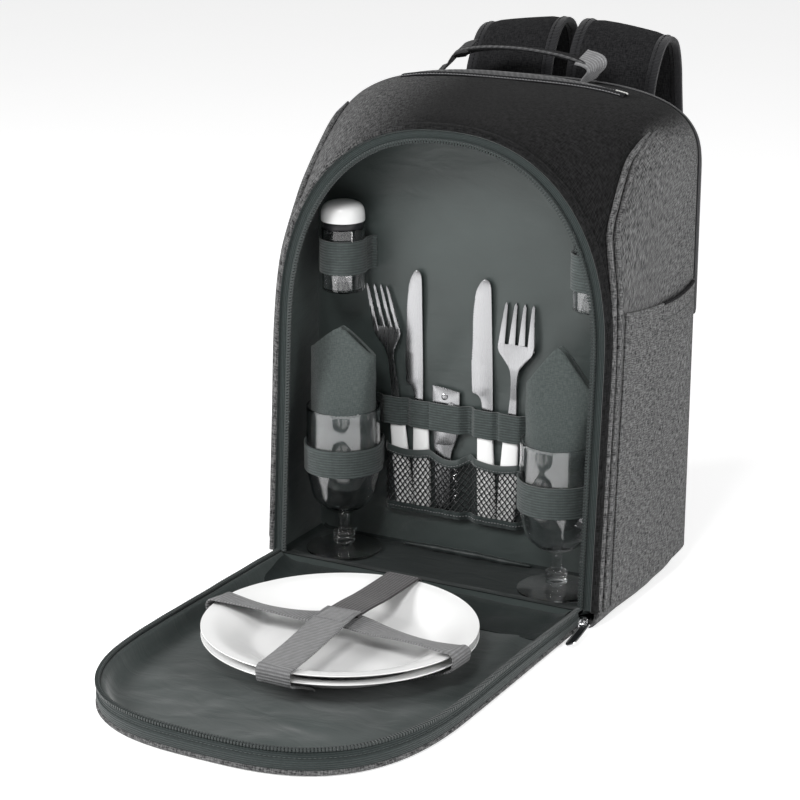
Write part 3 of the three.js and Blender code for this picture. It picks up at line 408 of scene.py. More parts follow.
def grid_normals(G, wrap):
    a = np.empty_like(G)
    if wrap:
        a = np.roll(G, -1, 1) - np.roll(G, 1, 1)
    else:
        a[:, 1:-1] = G[:, 2:] - G[:, :-2]
        a[:, 0] = G[:, 1] - G[:, 0]
        a[:, -1] = G[:, -1] - G[:, -2]
    b = np.empty_like(G)
    b[1:-1] = G[2:] - G[:-2]
    b[0] = G[1] - G[0]
    b[-1] = G[-1] - G[-2]
    n = np.cross(a, b)
    length = np.linalg.norm(n, axis=2, keepdims=True)
    return n / np.where(length < 1e-9, 1, length)


def sheet_mesh(G, thick, wrap=False, lift=0.0, extra_height=None):
    """Closed cloth of even thickness over a grid of points, with real lengths as texture."""
    G = np.asarray(G, float)
    rows, cols = G.shape[:2]
    n = grid_normals(G, wrap)
    if extra_height is not None:
        G = G + n * extra_height[..., None]
    front = G + n * (lift + thick / 2)
    back = G + n * (lift - thick / 2)
    verts = np.vstack([front.reshape(-1, 3), back.reshape(-1, 3)])
    ulen = run_lengths(np.concatenate([G, G[:, :1]], 1) if wrap else G, 1)
    vlen = run_lengths(G, 0)
    half = rows * cols
    faces, uvs = [], []
    wide = cols if wrap else cols - 1

    def add(f, uv):
        faces.append(f)
        uvs.extend(uv)

    for j in range(rows - 1):
        for i in range(wide):
            m = (i + 1) % cols
            a, b, c, d = j * cols + i, j * cols + m, (j + 1) * cols + m, (j + 1) * cols + i
            uv = [(ulen[i], vlen[j]), (ulen[i + 1], vlen[j]), (ulen[i + 1], vlen[j + 1]),
                (ulen[i], vlen[j + 1])]
            add([a, b, c, d], uv)
            add([half + d, half + c, half + b, half + a], uv[::-1])
    for i in range(wide):
        m = (i + 1) % cols
        for j, flip in ((0, False), (rows - 1, True)):
            a, b = j * cols + i, j * cols + m
            f = [b, a, half + a, half + b]
            uv = [(ulen[i + 1], vlen[j]), (ulen[i], vlen[j]), (ulen[i], vlen[j] + thick),
                (ulen[i + 1], vlen[j] + thick)]
            add(f[::-1] if flip else f, uv[::-1] if flip else uv)
    if not wrap:
        for j in range(rows - 1):
            for i, flip in ((0, True), (cols - 1, False)):
                a, b = j * cols + i, (j + 1) * cols + i
                f = [b, a, half + a, half + b]
                uv = [(ulen[i], vlen[j + 1]), (ulen[i], vlen[j]), (ulen[i] + thick, vlen[j]),
                    (ulen[i] + thick, vlen[j + 1])]
                add(f[::-1] if flip else f, uv[::-1] if flip else uv)
    return verts, faces, uvs


def rings_mesh(rings, ends=(True, True)):
    R = np.asarray(rings, float)
    rows, cols = R.shape[:2]
    ulen = run_lengths(np.concatenate([R, R[:, :1]], 1), 1)
    vlen = run_lengths(R, 0)
    verts = R.reshape(-1, 3).tolist()
    faces, uvs = [], []
    for j in range(rows - 1):
        n = j + 1
        for i in range(cols):
            m = (i + 1) % cols
            faces.append([j * cols + i, j * cols + m, n * cols + m, n * cols + i])
            uvs.extend([(ulen[i], vlen[j]), (ulen[i + 1], vlen[j]), (ulen[i + 1], vlen[n]),
                (ulen[i], vlen[n])])
    for j, closed in ((0, ends[0]), (rows - 1, ends[1])):
        if closed:
            verts.append(R[j].mean(0).tolist())
            k = len(verts) - 1
            for i in range(cols):
                m = (i + 1) % cols
                faces.append([k, j * cols + m, j * cols + i] if j == 0 else [k, j * cols + i,
                    j * cols + m])
                uvs.extend([(ulen[i], vlen[j] + 3), (ulen[i + 1], vlen[j]), (ulen[i], vlen[j])])
    return verts, faces, uvs


def turned_mesh(profile, sides, x, y):
    """Turned solid; the profile starts and ends on the axis."""
    p = np.asarray(profile, float)
    a = np.arange(sides) / sides * 2 * np.pi
    rings = [np.stack([x + r * np.cos(a), y + r * np.sin(a), np.full(sides, z)], 1) for r,
        z in p[1:-1]]
    v, f, u = rings_mesh(rings)
    v[-2] = [x, y, p[0, 1]]
    v[-1] = [x, y, p[-1, 1]]
    return v, f, u


def section_sweep(path, side, section, widths, thicks):
    """Sweeps a section of (across, through) shares along a path."""
    path = np.asarray(path, float)
    n = len(path)
    run = np.gradient(path, axis=0)
    run /= np.linalg.norm(run, axis=1, keepdims=True)
    side = np.asarray(side, float)
    rings = []
    for k in range(n):
        s = side if side.ndim == 1 else side[k]
        wide = s - run[k] * np.dot(s, run[k])
        wide /= np.linalg.norm(wide)
        face = np.cross(run[k], wide)
        w = widths[k] if np.ndim(widths) else widths
        t = thicks[k] if np.ndim(thicks) else thicks
        rings.append([path[k] + wide * (a * w / 2) + face * (b * t / 2) for a, b in section])
    return np.array(rings)


def box_section(across, crown=0.0, edge=0.12):
    """A flat section with soft edges; crown lifts its middle."""
    xs = np.linspace(-1 + edge, 1 - edge, across)
    top = [(x, 1 + crown * (1 - x * x)) for x in xs]
    low = [(x, -1 - crown * (1 - x * x)) for x in xs]
    bend = 1 - edge * 0.3
    return [*low, (bend, -0.7), (1, 0), (bend, 0.7), *top[::-1], (-bend, 0.7), (-1, 0),
        (-bend, -0.7)]


def strap_piece(name, path, side, width, thick, mat, slot, replaces=(), across=8, crown=0.0,
    edge=0.05, **kw):
    rings = section_sweep(path, side, box_section(across, crown, edge), width, thick)
    return piece(name, rings_mesh(rings), mat, slot, replaces, **kw)


def cord_mesh(path, radius, sides=10):
    path = np.asarray(path, float)
    run = np.gradient(path, axis=0)
    run /= np.linalg.norm(run, axis=1, keepdims=True)
    up = np.array([0.0, 0, 1])
    if abs(run[0] @ up) > 0.9:
        up = np.array([1.0, 0, 0])
    rings = []
    a = np.arange(sides) / sides * 2 * np.pi
    for k in range(len(path)):
        up = up - run[k] * (up @ run[k])
        up /= np.linalg.norm(up)
        face = np.cross(run[k], up)
        r = radius[k] if np.ndim(radius) else radius
        rings.append(path[k] + np.outer(np.cos(a) * r, up) + np.outer(np.sin(a) * r, face))
    return rings_mesh(rings)


def join_meshes(parts):
    verts, faces, uvs = [], [], []
    for v, f, u in parts:
        k = len(verts)
        verts.extend([list(p) for p in v])
        faces.extend([[i + k for i in q] for q in f])
        uvs.extend(u)
    return verts, faces, uvs


def block_mesh(centre, axes, sizes):
    """A small box given its centre, three axes and three half sizes."""
    c = np.asarray(centre, float)
    x, y, z = (np.asarray(a, float) * s for a, s in zip(axes, sizes))
    v = [c + i * x + j * y + k * z for i in (-1, 1) for j in (-1, 1) for k in (-1, 1)]
    f = [[0, 1, 3, 2], [4, 6, 7, 5], [0, 4, 5, 1], [2, 3, 7, 6], [0, 2, 6, 4], [1, 5, 7, 3]]
    return v, f, [(0, 0), (1, 0), (1, 1), (0, 1)] * 6


def along(path, pitch):
    """Places and directions at an even pitch along a path."""
    path = np.asarray(path, float)
    run = np.r_[0, np.cumsum(np.linalg.norm(np.diff(path, axis=0), axis=1))]
    count = max(1, int(run[-1] / pitch))
    want = (np.arange(count) + 0.5) * run[-1] / count
    p = np.stack([np.interp(want, run, path[:, k]) for k in range(3)], 1)
    q = np.stack([np.interp(np.minimum(want + 0.5, run[-1]), run, path[:, k]) for k in range(3)],
        1)
    o = np.stack([np.interp(np.maximum(want - 0.5, 0), run, path[:, k]) for k in range(3)], 1)
    d = q - o
    return p, d / np.linalg.norm(d, axis=1, keepdims=True)


def stitches(name, path, out, mat="thread_grey", pitch=3.0, length=2.1, radius=0.3, slot=None):
    """A row of short thread stitches; out is the direction that the cloth faces."""
    p, d = along(path, pitch)
    out = np.asarray(out, float)
    parts = []
    for k in range(len(p)):
        n = out if out.ndim == 1 else out[min(k * len(out) // len(p), len(out) - 1)]
        n = n / np.linalg.norm(n)
        s = np.cross(d[k], n)
        s /= np.linalg.norm(s)
        n = np.cross(s, d[k])
        bow = [p[k] - d[k] * length / 2, p[k] + n * radius * 0.7, p[k] + d[k] * length / 2]
        a = np.arange(5) / 5 * 2 * np.pi
        rings = [b + np.outer(np.cos(a) * r, n) + np.outer(np.sin(a) * r, s) for b,
            r in zip(bow, (radius * 0.6, radius, radius * 0.6))]
        parts.append(rings_mesh(rings))
    return piece(name, join_meshes(parts), mat, slot, (), sharp=60)


# Body of the bag

def arch(half, low, top, shoulder, power, corner, steps=SHELL_STEPS):
    nb, nc, ns, na = steps
    right = [(x, low) for x in np.linspace(0, half - corner, nb, endpoint=False)]
    for a in np.linspace(0, np.pi / 2, nc + 1):
        right.append((half - corner + corner * np.sin(a), low + corner - corner * np.cos(a)))
    for z in np.linspace(low + corner, top - shoulder, ns + 1)[1:-1]:
        right.append((half, z))
    for a in np.linspace(0, np.pi / 2, na + 1):
        c, s = max(0.0, math.cos(a)), math.sin(a)
        right.append((half * c ** (2 / power) if c > 1e-9 else 0.0,
            top - shoulder + shoulder * s ** (2 / power)))
    left = [(-x, z) for x, z in right[1:-1]][::-1]
    return np.array(right + left)


def shell_ring(d, inset=0.0):
    _, half, top, shoulder, power, lift, corner = ease(SHELL, d)
    o = arch(half - inset, lift + inset, top - inset, shoulder - inset, power,
        max(2, corner - inset))
    return np.stack([o[:, 0], LEAN * o[:, 1] * (1 - d) + DEPTH * d, o[:, 1]], 1)


def flank(d, z, side, lift=0.0):
    """Point on a flank of the shell at a depth share and height."""
    ring = shell_ring(d, -lift)
    right = ring[RIGHT_FLANK]
    x = np.interp(z, right[:, 2], right[:, 0])
    y = np.interp(z, right[:, 2], right[:, 1])
    return np.array([x * side, y, z])


# depth share and height of the fold between the front and a flank
FOLD = np.array([(0.016, 12), (0.016, 130), (0.018, 200), (0.03, 254), (0.07, 296), (0.15, 318),
    (0.29, 344),
                 (0.385, 354), (0.5, 362)])


def painted_front_shade(p):
    """Painted shade on the front and top panel: how much darker their cloth is painted than that of
    the flanks, less towards the left front.
    """
    x, y, z = p
    share = np.clip((y - LEAN * z) / (DEPTH - LEAN * z), 0, 1)
    fold = np.interp(share, FOLD[:, 0], FOLD[:, 1])
    width = lerp(3, 24, np.clip((share - 0.4) / 0.3, 0, 1))
    s = np.clip((z - fold) / width + 0.5, 0, 1) * np.clip((x + 125) / 110, 0, 1)
    return float(s * s * (3 - 2 * s))


def make_shell():
    shares = np.r_[np.linspace(0, 0.84, 34), np.linspace(0.86, 1, 12)]
    G = np.array([shell_ring(d) for d in shares])
    n = grid_normals(G, True)
    h = np.zeros(G.shape[:2])
    for j, d in enumerate(shares):
        edge = math.sin(math.pi * min(1, max(0, d)))
        for i, p in enumerate(G[j]):
            if p[2] < 3:
                continue
            soft = rough(p, 70, 3.1) * 1.6 + rough((p[0], p[1] * 0.5, p[2]), 26, 8.2) * 0.5
            pull = math.exp(-((p[2] - 30) / 26) ** 2) * rough((p[0], p[1], p[2] * 0.3), 15,
                5.0) * 0.9
            h[j, i] = (soft + pull) * edge
    sign = np.sign(np.sum(n[20, 30] * (G[20, 30] - [0, 90, 190])))
    v, f, u = sheet_mesh(G, 2.4, True, -1.2 * sign, h * sign)
    o = piece("shell_cloth", (v, f, u), "heather_painted_shade", "heather_cloth", "body_shell", 50)
    # Painted shade: per-point darkening of the front and top panel, stored in the attribute shade.
    layer = o.data.attributes.new("shade", "FLOAT", "POINT")
    layer.data.foreach_set("value", [painted_front_shade(p) for p in v])


def back_outline(inset):
    _, half, top, shoulder, power, lift, corner = SHELL[-1]
    return arch(half - inset, lift + inset, top - inset, shoulder - inset, power,
        max(3, corner - inset), (8, 5, 16, 24))


def make_back():
    rings = []
    for inset, y in ((3.6, 184.2), (3.5, 187.5), (4.6, 189.4), (8, 190.6), (14, 191.6), (24, 192.4),
        (30, 192.0),
                     (34, 190.6), (38, 192.2), (52, 193.2)):
        o = back_outline(inset)
        rings.append(np.stack([o[:, 0], np.full(len(o), y), o[:, 1]], 1))
    centre = np.array([0, 0, 190])
    last = rings[-1]
    for t in (0.75, 0.5, 0.25, 0.08):
        r = centre + (last - centre) * t
        r[:, 1] = [193.2 + 0.8 * rough(p, 40, 1.0) for p in r]
        rings.append(r)
    v, f, _ = rings_mesh(rings)
    u = [(v[k][0], v[k][2]) for q in f for k in q]
    o = piece("back_pad", (v, f, u), "back", "back_cloth", "back_panel", 50)


def liner_ring(depth):
    _, half, top, shoulder, power, corner = ease(LINER, depth)
    o = arch(half, FLOOR_Z, top, shoulder, power, corner, (14, 6, 26, 36))
    return np.stack([o[:, 0], depth + LEAN * o[:, 1] * (1 - depth / WALL_Y), o[:, 1]], 1)


def wall_relief(x, z):
    """Soft folds of the lining on the compartment wall, in millimetres towards the front."""
    p = (x, 0, z)
    h = 0.8 * rough(p, 60, 2.0)
    low = math.exp(-max(0, z - 8) / 22)
    h += low * (1.0 * math.sin(x / 9 + 3 * rough(p, 50, 4.0)) + 0.8)
    drape = math.exp(-((z - 178) / 48) ** 2) * math.exp(-((x - 10) / 70) ** 4)
    h += drape * (1.2 + 1.2 * math.sin((x - 0.55 * (z - 180)) / 8.5 + 2.5 * rough(p, 60, 7.0)))
    return h


def make_liner():
    rings = []
    for d in (0, 1.5, 3.5, 6, 9, 13, 20, 28, 36, 44, 52, 60, 67, 72, WALL_Y - 0.6):
        r = liner_ring(d)
        for p in r:
            inside = min(1, d / 20) * (1 - d / 80)
            if p[2] > 12:
                p[0] -= np.sign(p[0]) * abs(rough(p, 34, 6.0)) * 2.0 * inside
            else:
                p[2] += abs(rough((p[0], p[1] * 2, 0), 30,
                    9.0)) * 1.2 * inside * (abs(abs(p[0]) - 95) > 36)
        rings.append(r)
    last = liner_ring(WALL_Y)
    centre = np.array([0, WALL_Y, 190])
    for t in np.linspace(0.985, 0.03, 40):
        r = centre + (last - centre) * t
        r[:, 1] = [WALL_Y - max(-0.2, wall_relief(p[0], p[2])) * min(1,
            (1 - t) * 12) * 0.8 for p in r]
        rings.append(r)
    v, f, _ = rings_mesh(rings, (False, True))
    uv = []
    for q in f:
        c = np.mean([v[k] for k in q], 0)
        flat_wall = c[1] > WALL_Y - 3
        for k in q:
            uv.append((v[k][0],
                v[k][2]) if flat_wall or c[2] > 30 and abs(c[0]) < 60 else ((v[k][0],
                v[k][1]) if c[2] < 12 else (v[k][1], v[k][2])))
    # Faces low on the floor take the darker satin: painted shade on the compartment floor.
    pick = [int(np.mean([v[k][2] for k in q]) < 12) for q in f]
    piece("liner_satin", (v, f, uv), "satin", "satin_lining", "compartment_liner", 60,
        ("satin_painted_shade",), pick)


def opening_path(half, top, shoulder, power, lowest):
    steps = (2, 2, 24, 30)
    o = arch(half, FLOOR_Z, top, shoulder, power, 6, steps)
    start = steps[0] + steps[1]
    o = o[start:len(o) - start + 1]
    o = np.stack([o[:, 0], np.zeros(len(o)), np.maximum(o[:, 1], lowest)], 1)
    o[:, 1] = LEAN * o[:, 2]
    return spline(o[::2], 240)


def make_body_tape():
    _, half, top, shoulder, power, _, _ = SHELL[0]
    inner = opening_path(OPEN[0] - 0.6, OPEN[1] - 0.6, OPEN[2], OPEN[3], FLOOR_Z + 2)
    outer = opening_path(half + 0.6, top + 0.6, shoulder, power, FLOOR_Z + 2)
    rows = []
    for t, out in ((0, 0.9), (0.3, 1.3), (0.6, 1.5), (0.66, 2.8), (0.78, 3.4), (0.9, 2.9),
        (1.0, 0.9)):
        r = inner + (outer - inner) * t
        r[:, 1] -= out
        rows.append(r)
    piece("body_tape", sheet_mesh(rows, 1.0), "tape", "zip_tape", "zip_tape_body", 60)
    rows = []
    for t, out in ((0.72, 2.6), (0.74, 4.2), (0.84, 4.8), (0.95, 4.2), (1.04, 2.4), (1.06, 0.2)):
        r = inner + (outer - inner) * t
        r[:, 1] -= out
        rows.append(r)
    v, f, u = sheet_mesh(rows, 1.2)
    o = piece("front_lip", (v, f, u), "heather_painted_shade", "heather_cloth", (), 60)
    # Painted shade: the lip takes the same per-point darkening as the front of the shell.
    layer = o.data.attributes.new("shade", "FLOAT", "POINT")
    layer.data.foreach_set("value", [painted_front_shade(p) for p in v])


def teeth(name, path, across, out, replaces, pitch=2.4):
    """Zip teeth along the tape edge, with the cord that they grip."""
    p, d = along(path, pitch)
    parts = [cord_mesh(path[::2], 1.1, 6)]
    for k in range(len(p)):
        n = out(p[k])
        s = across(p[k], d[k])
        parts.append(block_mesh(p[k] + s * 0.9, (d[k], s, n), (0.7, 1.8, 1.05)))
    return piece(name, join_meshes(parts), "tooth", "zip_tape", replaces, 30)


def make_body_teeth():
    path = opening_path(OPEN[0] - 0.8, OPEN[1] - 0.8, OPEN[2], OPEN[3], FLOOR_Z + 3)
    path[:, 1] -= 3.2

    def across(p, d):
        s = np.cross(d, (0, -1, 0))
        s /= np.linalg.norm(s)
        return s if s @ (np.array([0, p[1], 190]) - p) > 0 else -s

    teeth("body_teeth", path, across, lambda p: np.array([0, -1.0, 0]), "zip_coil_body")


def make_corner_fold(side):
    course = [tuple(p) for p in FOLD]
    name = "left" if side < 0 else "right"
    parts = []
    for shift, radius in ((-0.012, 2.3), (0.022, 2.2)):
        path = spline([flank(d + shift, z, side, 1.3) for d, z in course], 90)
        r = np.full(len(path), radius)
        r[:4] = radius * np.linspace(0.3, 1, 4)
        r[-5:] = radius * np.linspace(1, 0.4, 5)
        parts.append(cord_mesh(path, r, 12))
    piece(f"corner_fold_{name}_cloth", join_meshes(parts), "heather", "dark_cloth",
        f"corner_fold_{name}", 60)


def make_side_pocket(side):
    name = "left" if side < 0 else "right"
    rows = []
    shares = np.linspace(0.09, 0.873, 30)
    for t in np.linspace(0, 1, 34):
        row = []
        for k, d in enumerate(shares):
            s = k / (len(shares) - 1)
            high = lerp(241, 237, s) - 5 * math.sin(math.pi * s)
            z = lerp(14, high, t)
            open_part = np.clip((s - 0.38) / 0.25, 0, 1)
            slack = math.sin(math.pi * s) * (0.4 + 2.2 * t ** 3 * open_part)
            slack += 0.7 * rough((0, d * 190, z * 0.6), 22, 2.0) * math.sin(math.pi * s)
            slack += 1.3 * math.exp(-((s - 0.42) / 0.035) ** 2) * math.sin(math.pi * min(1,
                t * 1.05))
            row.append(flank(d, z, side, lerp(0.75, 1.3, open_part) + slack))
        rows.append(row)
    rows = np.array(rows)
    piece(f"side_pocket_{name}_cloth", sheet_mesh(rows, 1.3), "heather", "heather_cloth",
        f"side_pocket_{name}", 60)
    hem = rows[-1] + [side * 0.6, 0, -0.5]
    piece(f"side_pocket_{name}_hem", cord_mesh(spline(hem[14::2], 30), 1.2, 8), "heather_dark",
        "dark_cloth", (), 60)
    stitches(f"side_pocket_{name}_stitches", rows[-3][14:] + [side * 0.9, 0, 0], (side, 0, 0),
        "thread_dark", 3.4, slot="heather_cloth")


def on_top(x, d, lift):
    """Point on the top of the shell."""
    ring = shell_ring(d)
    arc = ring[TOP_ARC]
    arc = arc[np.argsort(arc[:, 0])]
    arc = arc[arc[:, 2] > 300]
    z = np.interp(x, arc[:, 0], arc[:, 2])
    y = np.interp(x, arc[:, 0], arc[:, 1])
    return np.array([x, y, z + lift])


def make_top():
    """Top seam as a flat roll between two stitched lines, and the twill strip behind it."""
    xs = np.linspace(-97, 97, 70)
    rows = []
    for t, lift in ((0, 0.4), (0.08, 1.5), (0.3, 2.0), (0.7, 2.0), (0.92, 1.6), (1, 0.4)):
        rows.append([on_top(x, lerp(0.652, 0.702, t), lift) for x in xs])
    piece("top_seam_roll", sheet_mesh(rows, 0.8), "heather_dark", "dark_cloth", "top_seam", 50)
    for k, d in enumerate((0.652, 0.702)):
        line = spline([on_top(x, d, 1.5) for x in xs[::4]], 160)
        stitches(f"top_stitches_{k}", line, (0, -0.2, 1), "thread_grey", 2.6, 2.2, 0.42,
            slot="dark_cloth")
    rows = []
    for t in np.linspace(0, 1, 6):
        rows.append([on_top(x, 0.709 + t * (0.01 + 0.075 * max(0,
            math.cos((x + 12) / 92 * math.pi / 2))), 0.7 + 2.2 * math.sin(math.pi * min(1,
            t * 0.8)) * max(0, math.cos((x + 12) / 92 * math.pi / 2))) for x in xs])
    piece("top_twill_strip", sheet_mesh(rows, 1.0), "twill", "webbing", "top_twill", 50)
    tack = [on_top(x, 0.69, 2.2) for x in np.linspace(88, 98, 6)]
    piece("bar_tack", join_meshes([cord_mesh([p, (p + q) / 2 + [0, 0, 0.3], q], 0.7, 6) for p,
        q in zip(tack[:-1], tack[1:])]), "thread", "dark_cloth", (), 60)


def handle_course():
    y = 160
    return spline([(-60, y, 396), (-52, y, 402.5), (-30, y, 406.8), (0, y, 408), (30, y, 406),
        (50, y, 402), (61, y, 397)], 80)[2:-2]


def make_handle():
    path = handle_course()
    n = len(path)
    widths = 26 * (1 - 0.3 * (np.abs(np.linspace(-1, 1, n)) ** 4))
    turn = np.stack([np.zeros(n), np.full(n, 1.0), np.full(n, -0.16)], 1)
    rings = section_sweep(path, turn, box_section(12, 0.12, 0.1), widths, 3.4)
    v, f, u = rings_mesh(rings)
    o = piece("handle_pad", (v, f, u), "heather_dark", "dark_cloth", "carry_handle", 50)
    fold = section_sweep(path, turn, [(-0.98, 0.2), (0.98, 0.2)], widths, 4.2)
    for k, name in ((0, "front"), (1, "rear")):
        piece(f"handle_edge_{name}", cord_mesh(fold[:, k], 0.9, 8), "twill", "dark_cloth", (), 60)
    tabs = {"left": [(-76, 160, 385.2), (-70, 160, 388), (-64, 159, 394), (-60.5, 158.5, 399),
        (-57, 158, 403.4), (-52, 158, 405.8), (-45, 158, 407.6)],
        "right": [(52, 161, 385.0), (55, 160, 387), (58, 159, 391), (62.5, 158.5, 397),
        (62.5, 158, 401.5), (58, 158, 404), (50, 158, 405.6)]}
    for name, course in tabs.items():
        lean = 0.0 if name == "left" else 0.45
        rings = section_sweep(spline(course, 30), (lean, 1, 0.3), box_section(8, 0.0, 0.05),
            np.linspace(19, 24, 31), 1.5)
        piece(f"handle_tab_{name}_web", rings_mesh(rings),
            "silver_web" if name == "right" else "black_tape", "webbing", f"handle_tab_{name}",
            50)


STRAP_COURSE = [(318, 0), (345, 0), (372, 1), (394, 8), (412, 21), (418, 36), (411, 50),
    (388, 58), (350, 60), (300, 58), (250, 50), (205, 38), (172, 28)]


def strap_path(x):
    back = DEPTH + GAP + 3.5
    return spline([(x, back + off, z) for z, off in STRAP_COURSE], 110)


def make_strap(k):
    x = (-31.5, 58.5)[k]
    name = ("left", "right")[k]
    way = (-1, 1)[k]
    path = strap_path(x)
    n = len(path)
    t = np.linspace(0, 1, n)
    path[:, 0] += way * 26 * np.clip((t - 0.45) / 0.55, 0, 1) ** 1.5
    width = 77 * (1 - 0.45 * np.clip((t - 0.86) / 0.14, 0, 1))
    roll = 0.13 * np.clip((t - 0.1) / 0.1, 0, 1) * np.clip((0.6 - t) / 0.2, 0, 1)
    side = np.stack([np.ones(n), np.zeros(n), -way * roll], 1)
    # share across, half thickness: the bound edge, the seam and the crowned middle
    half = [(1.0, 0.0), (0.995, 0.42), (0.96, 0.62), (0.80, 0.66), (0.775, 0.5), (0.75, 0.62),
        (0.6, 0.92), (0.3, 1.04), (0, 1.08)]
    section = [(a, b) for a, b in half] + [(-a, b) for a, b in half[-2::-1]]
    section += [(-a, -b) for a, b in half[1:]] + [(a, -b) for a, b in half[-2:0:-1]]
    rings = section_sweep(path, side, section, width, 7.0)
    for j in range(n):
        for i in range(len(section)):
            a, b = section[i]
            if abs(a) < 0.75:
                rings[j, i] += [0, 0.35 * rough(rings[j, i], 24, k + 1.0),
                    0.35 * rough(rings[j, i], 24, k + 4.0)]
    v, f, u = rings_mesh(rings)
    pick = []
    for q in range(len(f)):
        i = q % len(section)
        a = (section[i][0] + section[(i + 1) % len(section)][0]) / 2
        pick.append(1 if abs(a) > 0.77 and q < (n - 1) * len(section) else 0)
    o = piece(f"shoulder_strap_{name}_pad", (v, f, u), "heather_dark", "dark_cloth",
        f"shoulder_strap_{name}", 45, ("black_tape",), pick)
    seam = section_sweep(path, side, [(0.86, 0.74), (-0.86, 0.74), (0.86, -0.74), (-0.86, -0.74)],
        width, 7.0)
    parts = []
    for c in range(4):
        p, d = along(seam[4:, c], 3.2)
        for a, b in zip(p, d):
            s = np.cross(b, (1, 0, 0))
            parts.append(block_mesh(a, (b, (1, 0, 0), s / np.linalg.norm(s)), (1.0, 0.25, 0.25)))
    piece(f"shoulder_strap_{name}_stitches", join_meshes(parts), "back", "dark_cloth", (), 60)
    end = path[-1]
    top = end[2] - 27
    foot = (-112, 112)[k]
    back = DEPTH + 2 * GAP + 0.8
    web = spline([(end[0], end[1], end[2] + 1), (end[0], end[1] + 1.5, end[2] - 10),
        (end[0], end[1], top), (lerp(end[0], foot, 0.35), end[1] - 3, top - 34),
        (lerp(end[0], foot, 0.75), back + 7, 84), (foot, back + 3.4, 58), (foot, back + 2.6, 36)],
        70)
    strap_piece(f"lower_webbing_{name}_strap", web, (1, 0, 0), 25, 1.5, "black_tape",
        "back_cloth", f"lower_webbing_{name}", edge=0.04, sharp=50)
    node_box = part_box(f"strap_buckle_{name}")
    low = np.array(node_box[0]) * 1000 + [0, DEPTH / 2, 0]
    high = np.array(node_box[1]) * 1000 + [0, DEPTH / 2, 0]
    bars = []
    mid = (low + high) / 2
    w, h = (high[0] - low[0]) / 2, (high[2] - low[2]) / 2
    for z in (-h + 2, 0, h - 2):
        bars.append(cord_mesh([(mid[0] - w + 2, mid[1], mid[2] + z),
            (mid[0] + w - 2, mid[1], mid[2] + z)], 2.1, 12))
    for s in (-1, 1):
        bars.append(cord_mesh([(mid[0] + s * (w - 2), mid[1], low[2] + 1),
            (mid[0] + s * (w - 2), mid[1], high[2] - 1)], 2.2, 12))
    piece(f"strap_buckle_{name}_moulding", join_meshes(bars), "black_plastic", "black_plastic",
        f"strap_buckle_{name}", 50)


def make_rear_band():
    """Zip band round the rear edge, from the flanks over the top."""
    start = 2 * RIGHT_FLANK.start
    rows = []
    for d, lift in ((0.885, 0.5), (0.895, 1.8), (0.915, 2.2), (0.93, 1.9), (0.945, 2.6),
        (0.96, 2.0), (0.968, 0.5)):
        ring = shell_ring(d)
        n = grid_normals(np.array([shell_ring(d - 0.01), ring, shell_ring(min(1, d + 0.01))]),
            True)[1]
        out = np.sign(np.sum(n * (ring - [0, 150, 190]), axis=1))[:, None]
        full = ring + n * out * lift
        rows.append(full[start:len(ring) - start + 1])
    piece("rear_band_tape", sheet_mesh(rows, 0.9), "black_tape", "back_cloth", "rear_zip_band",
        50)


# Flap lying in front

def flap_outline(inset):
    half, end = FLAP_HALF - inset, FLAP_END + inset
    bend = FLAP_END + FLAP_ROUND
    right = [(half, y) for y in np.linspace(FLAP_HINGE, bend, 30, endpoint=False)]
    for a in np.linspace(0, np.pi / 2, 41):
        c, s = max(0.0, math.cos(a)), math.sin(a)
        right.append((half * c ** (2 / FLAP_POWER) if c > 1e-9 else 0.0,
            bend + (end - bend) * s ** (2 / FLAP_POWER)))
    left = [(-x, y) for x, y in right[:-1]][::-1]
    return spline(np.array([(x, y, 0) for x, y in (right + left)[::2]]), 200)


def rim_z(y):
    return lerp(16, 18.5, np.clip((FLAP_HINGE - y) / (FLAP_HINGE - FLAP_END), 0, 1))


def wave(p):
    """Slow unevenness of the rim of the flap."""
    return (0.9 * rough((p[0], p[1], 0), 80, 2.2) + 0.4 * rough((p[0], p[1], 0), 30, 5.5))


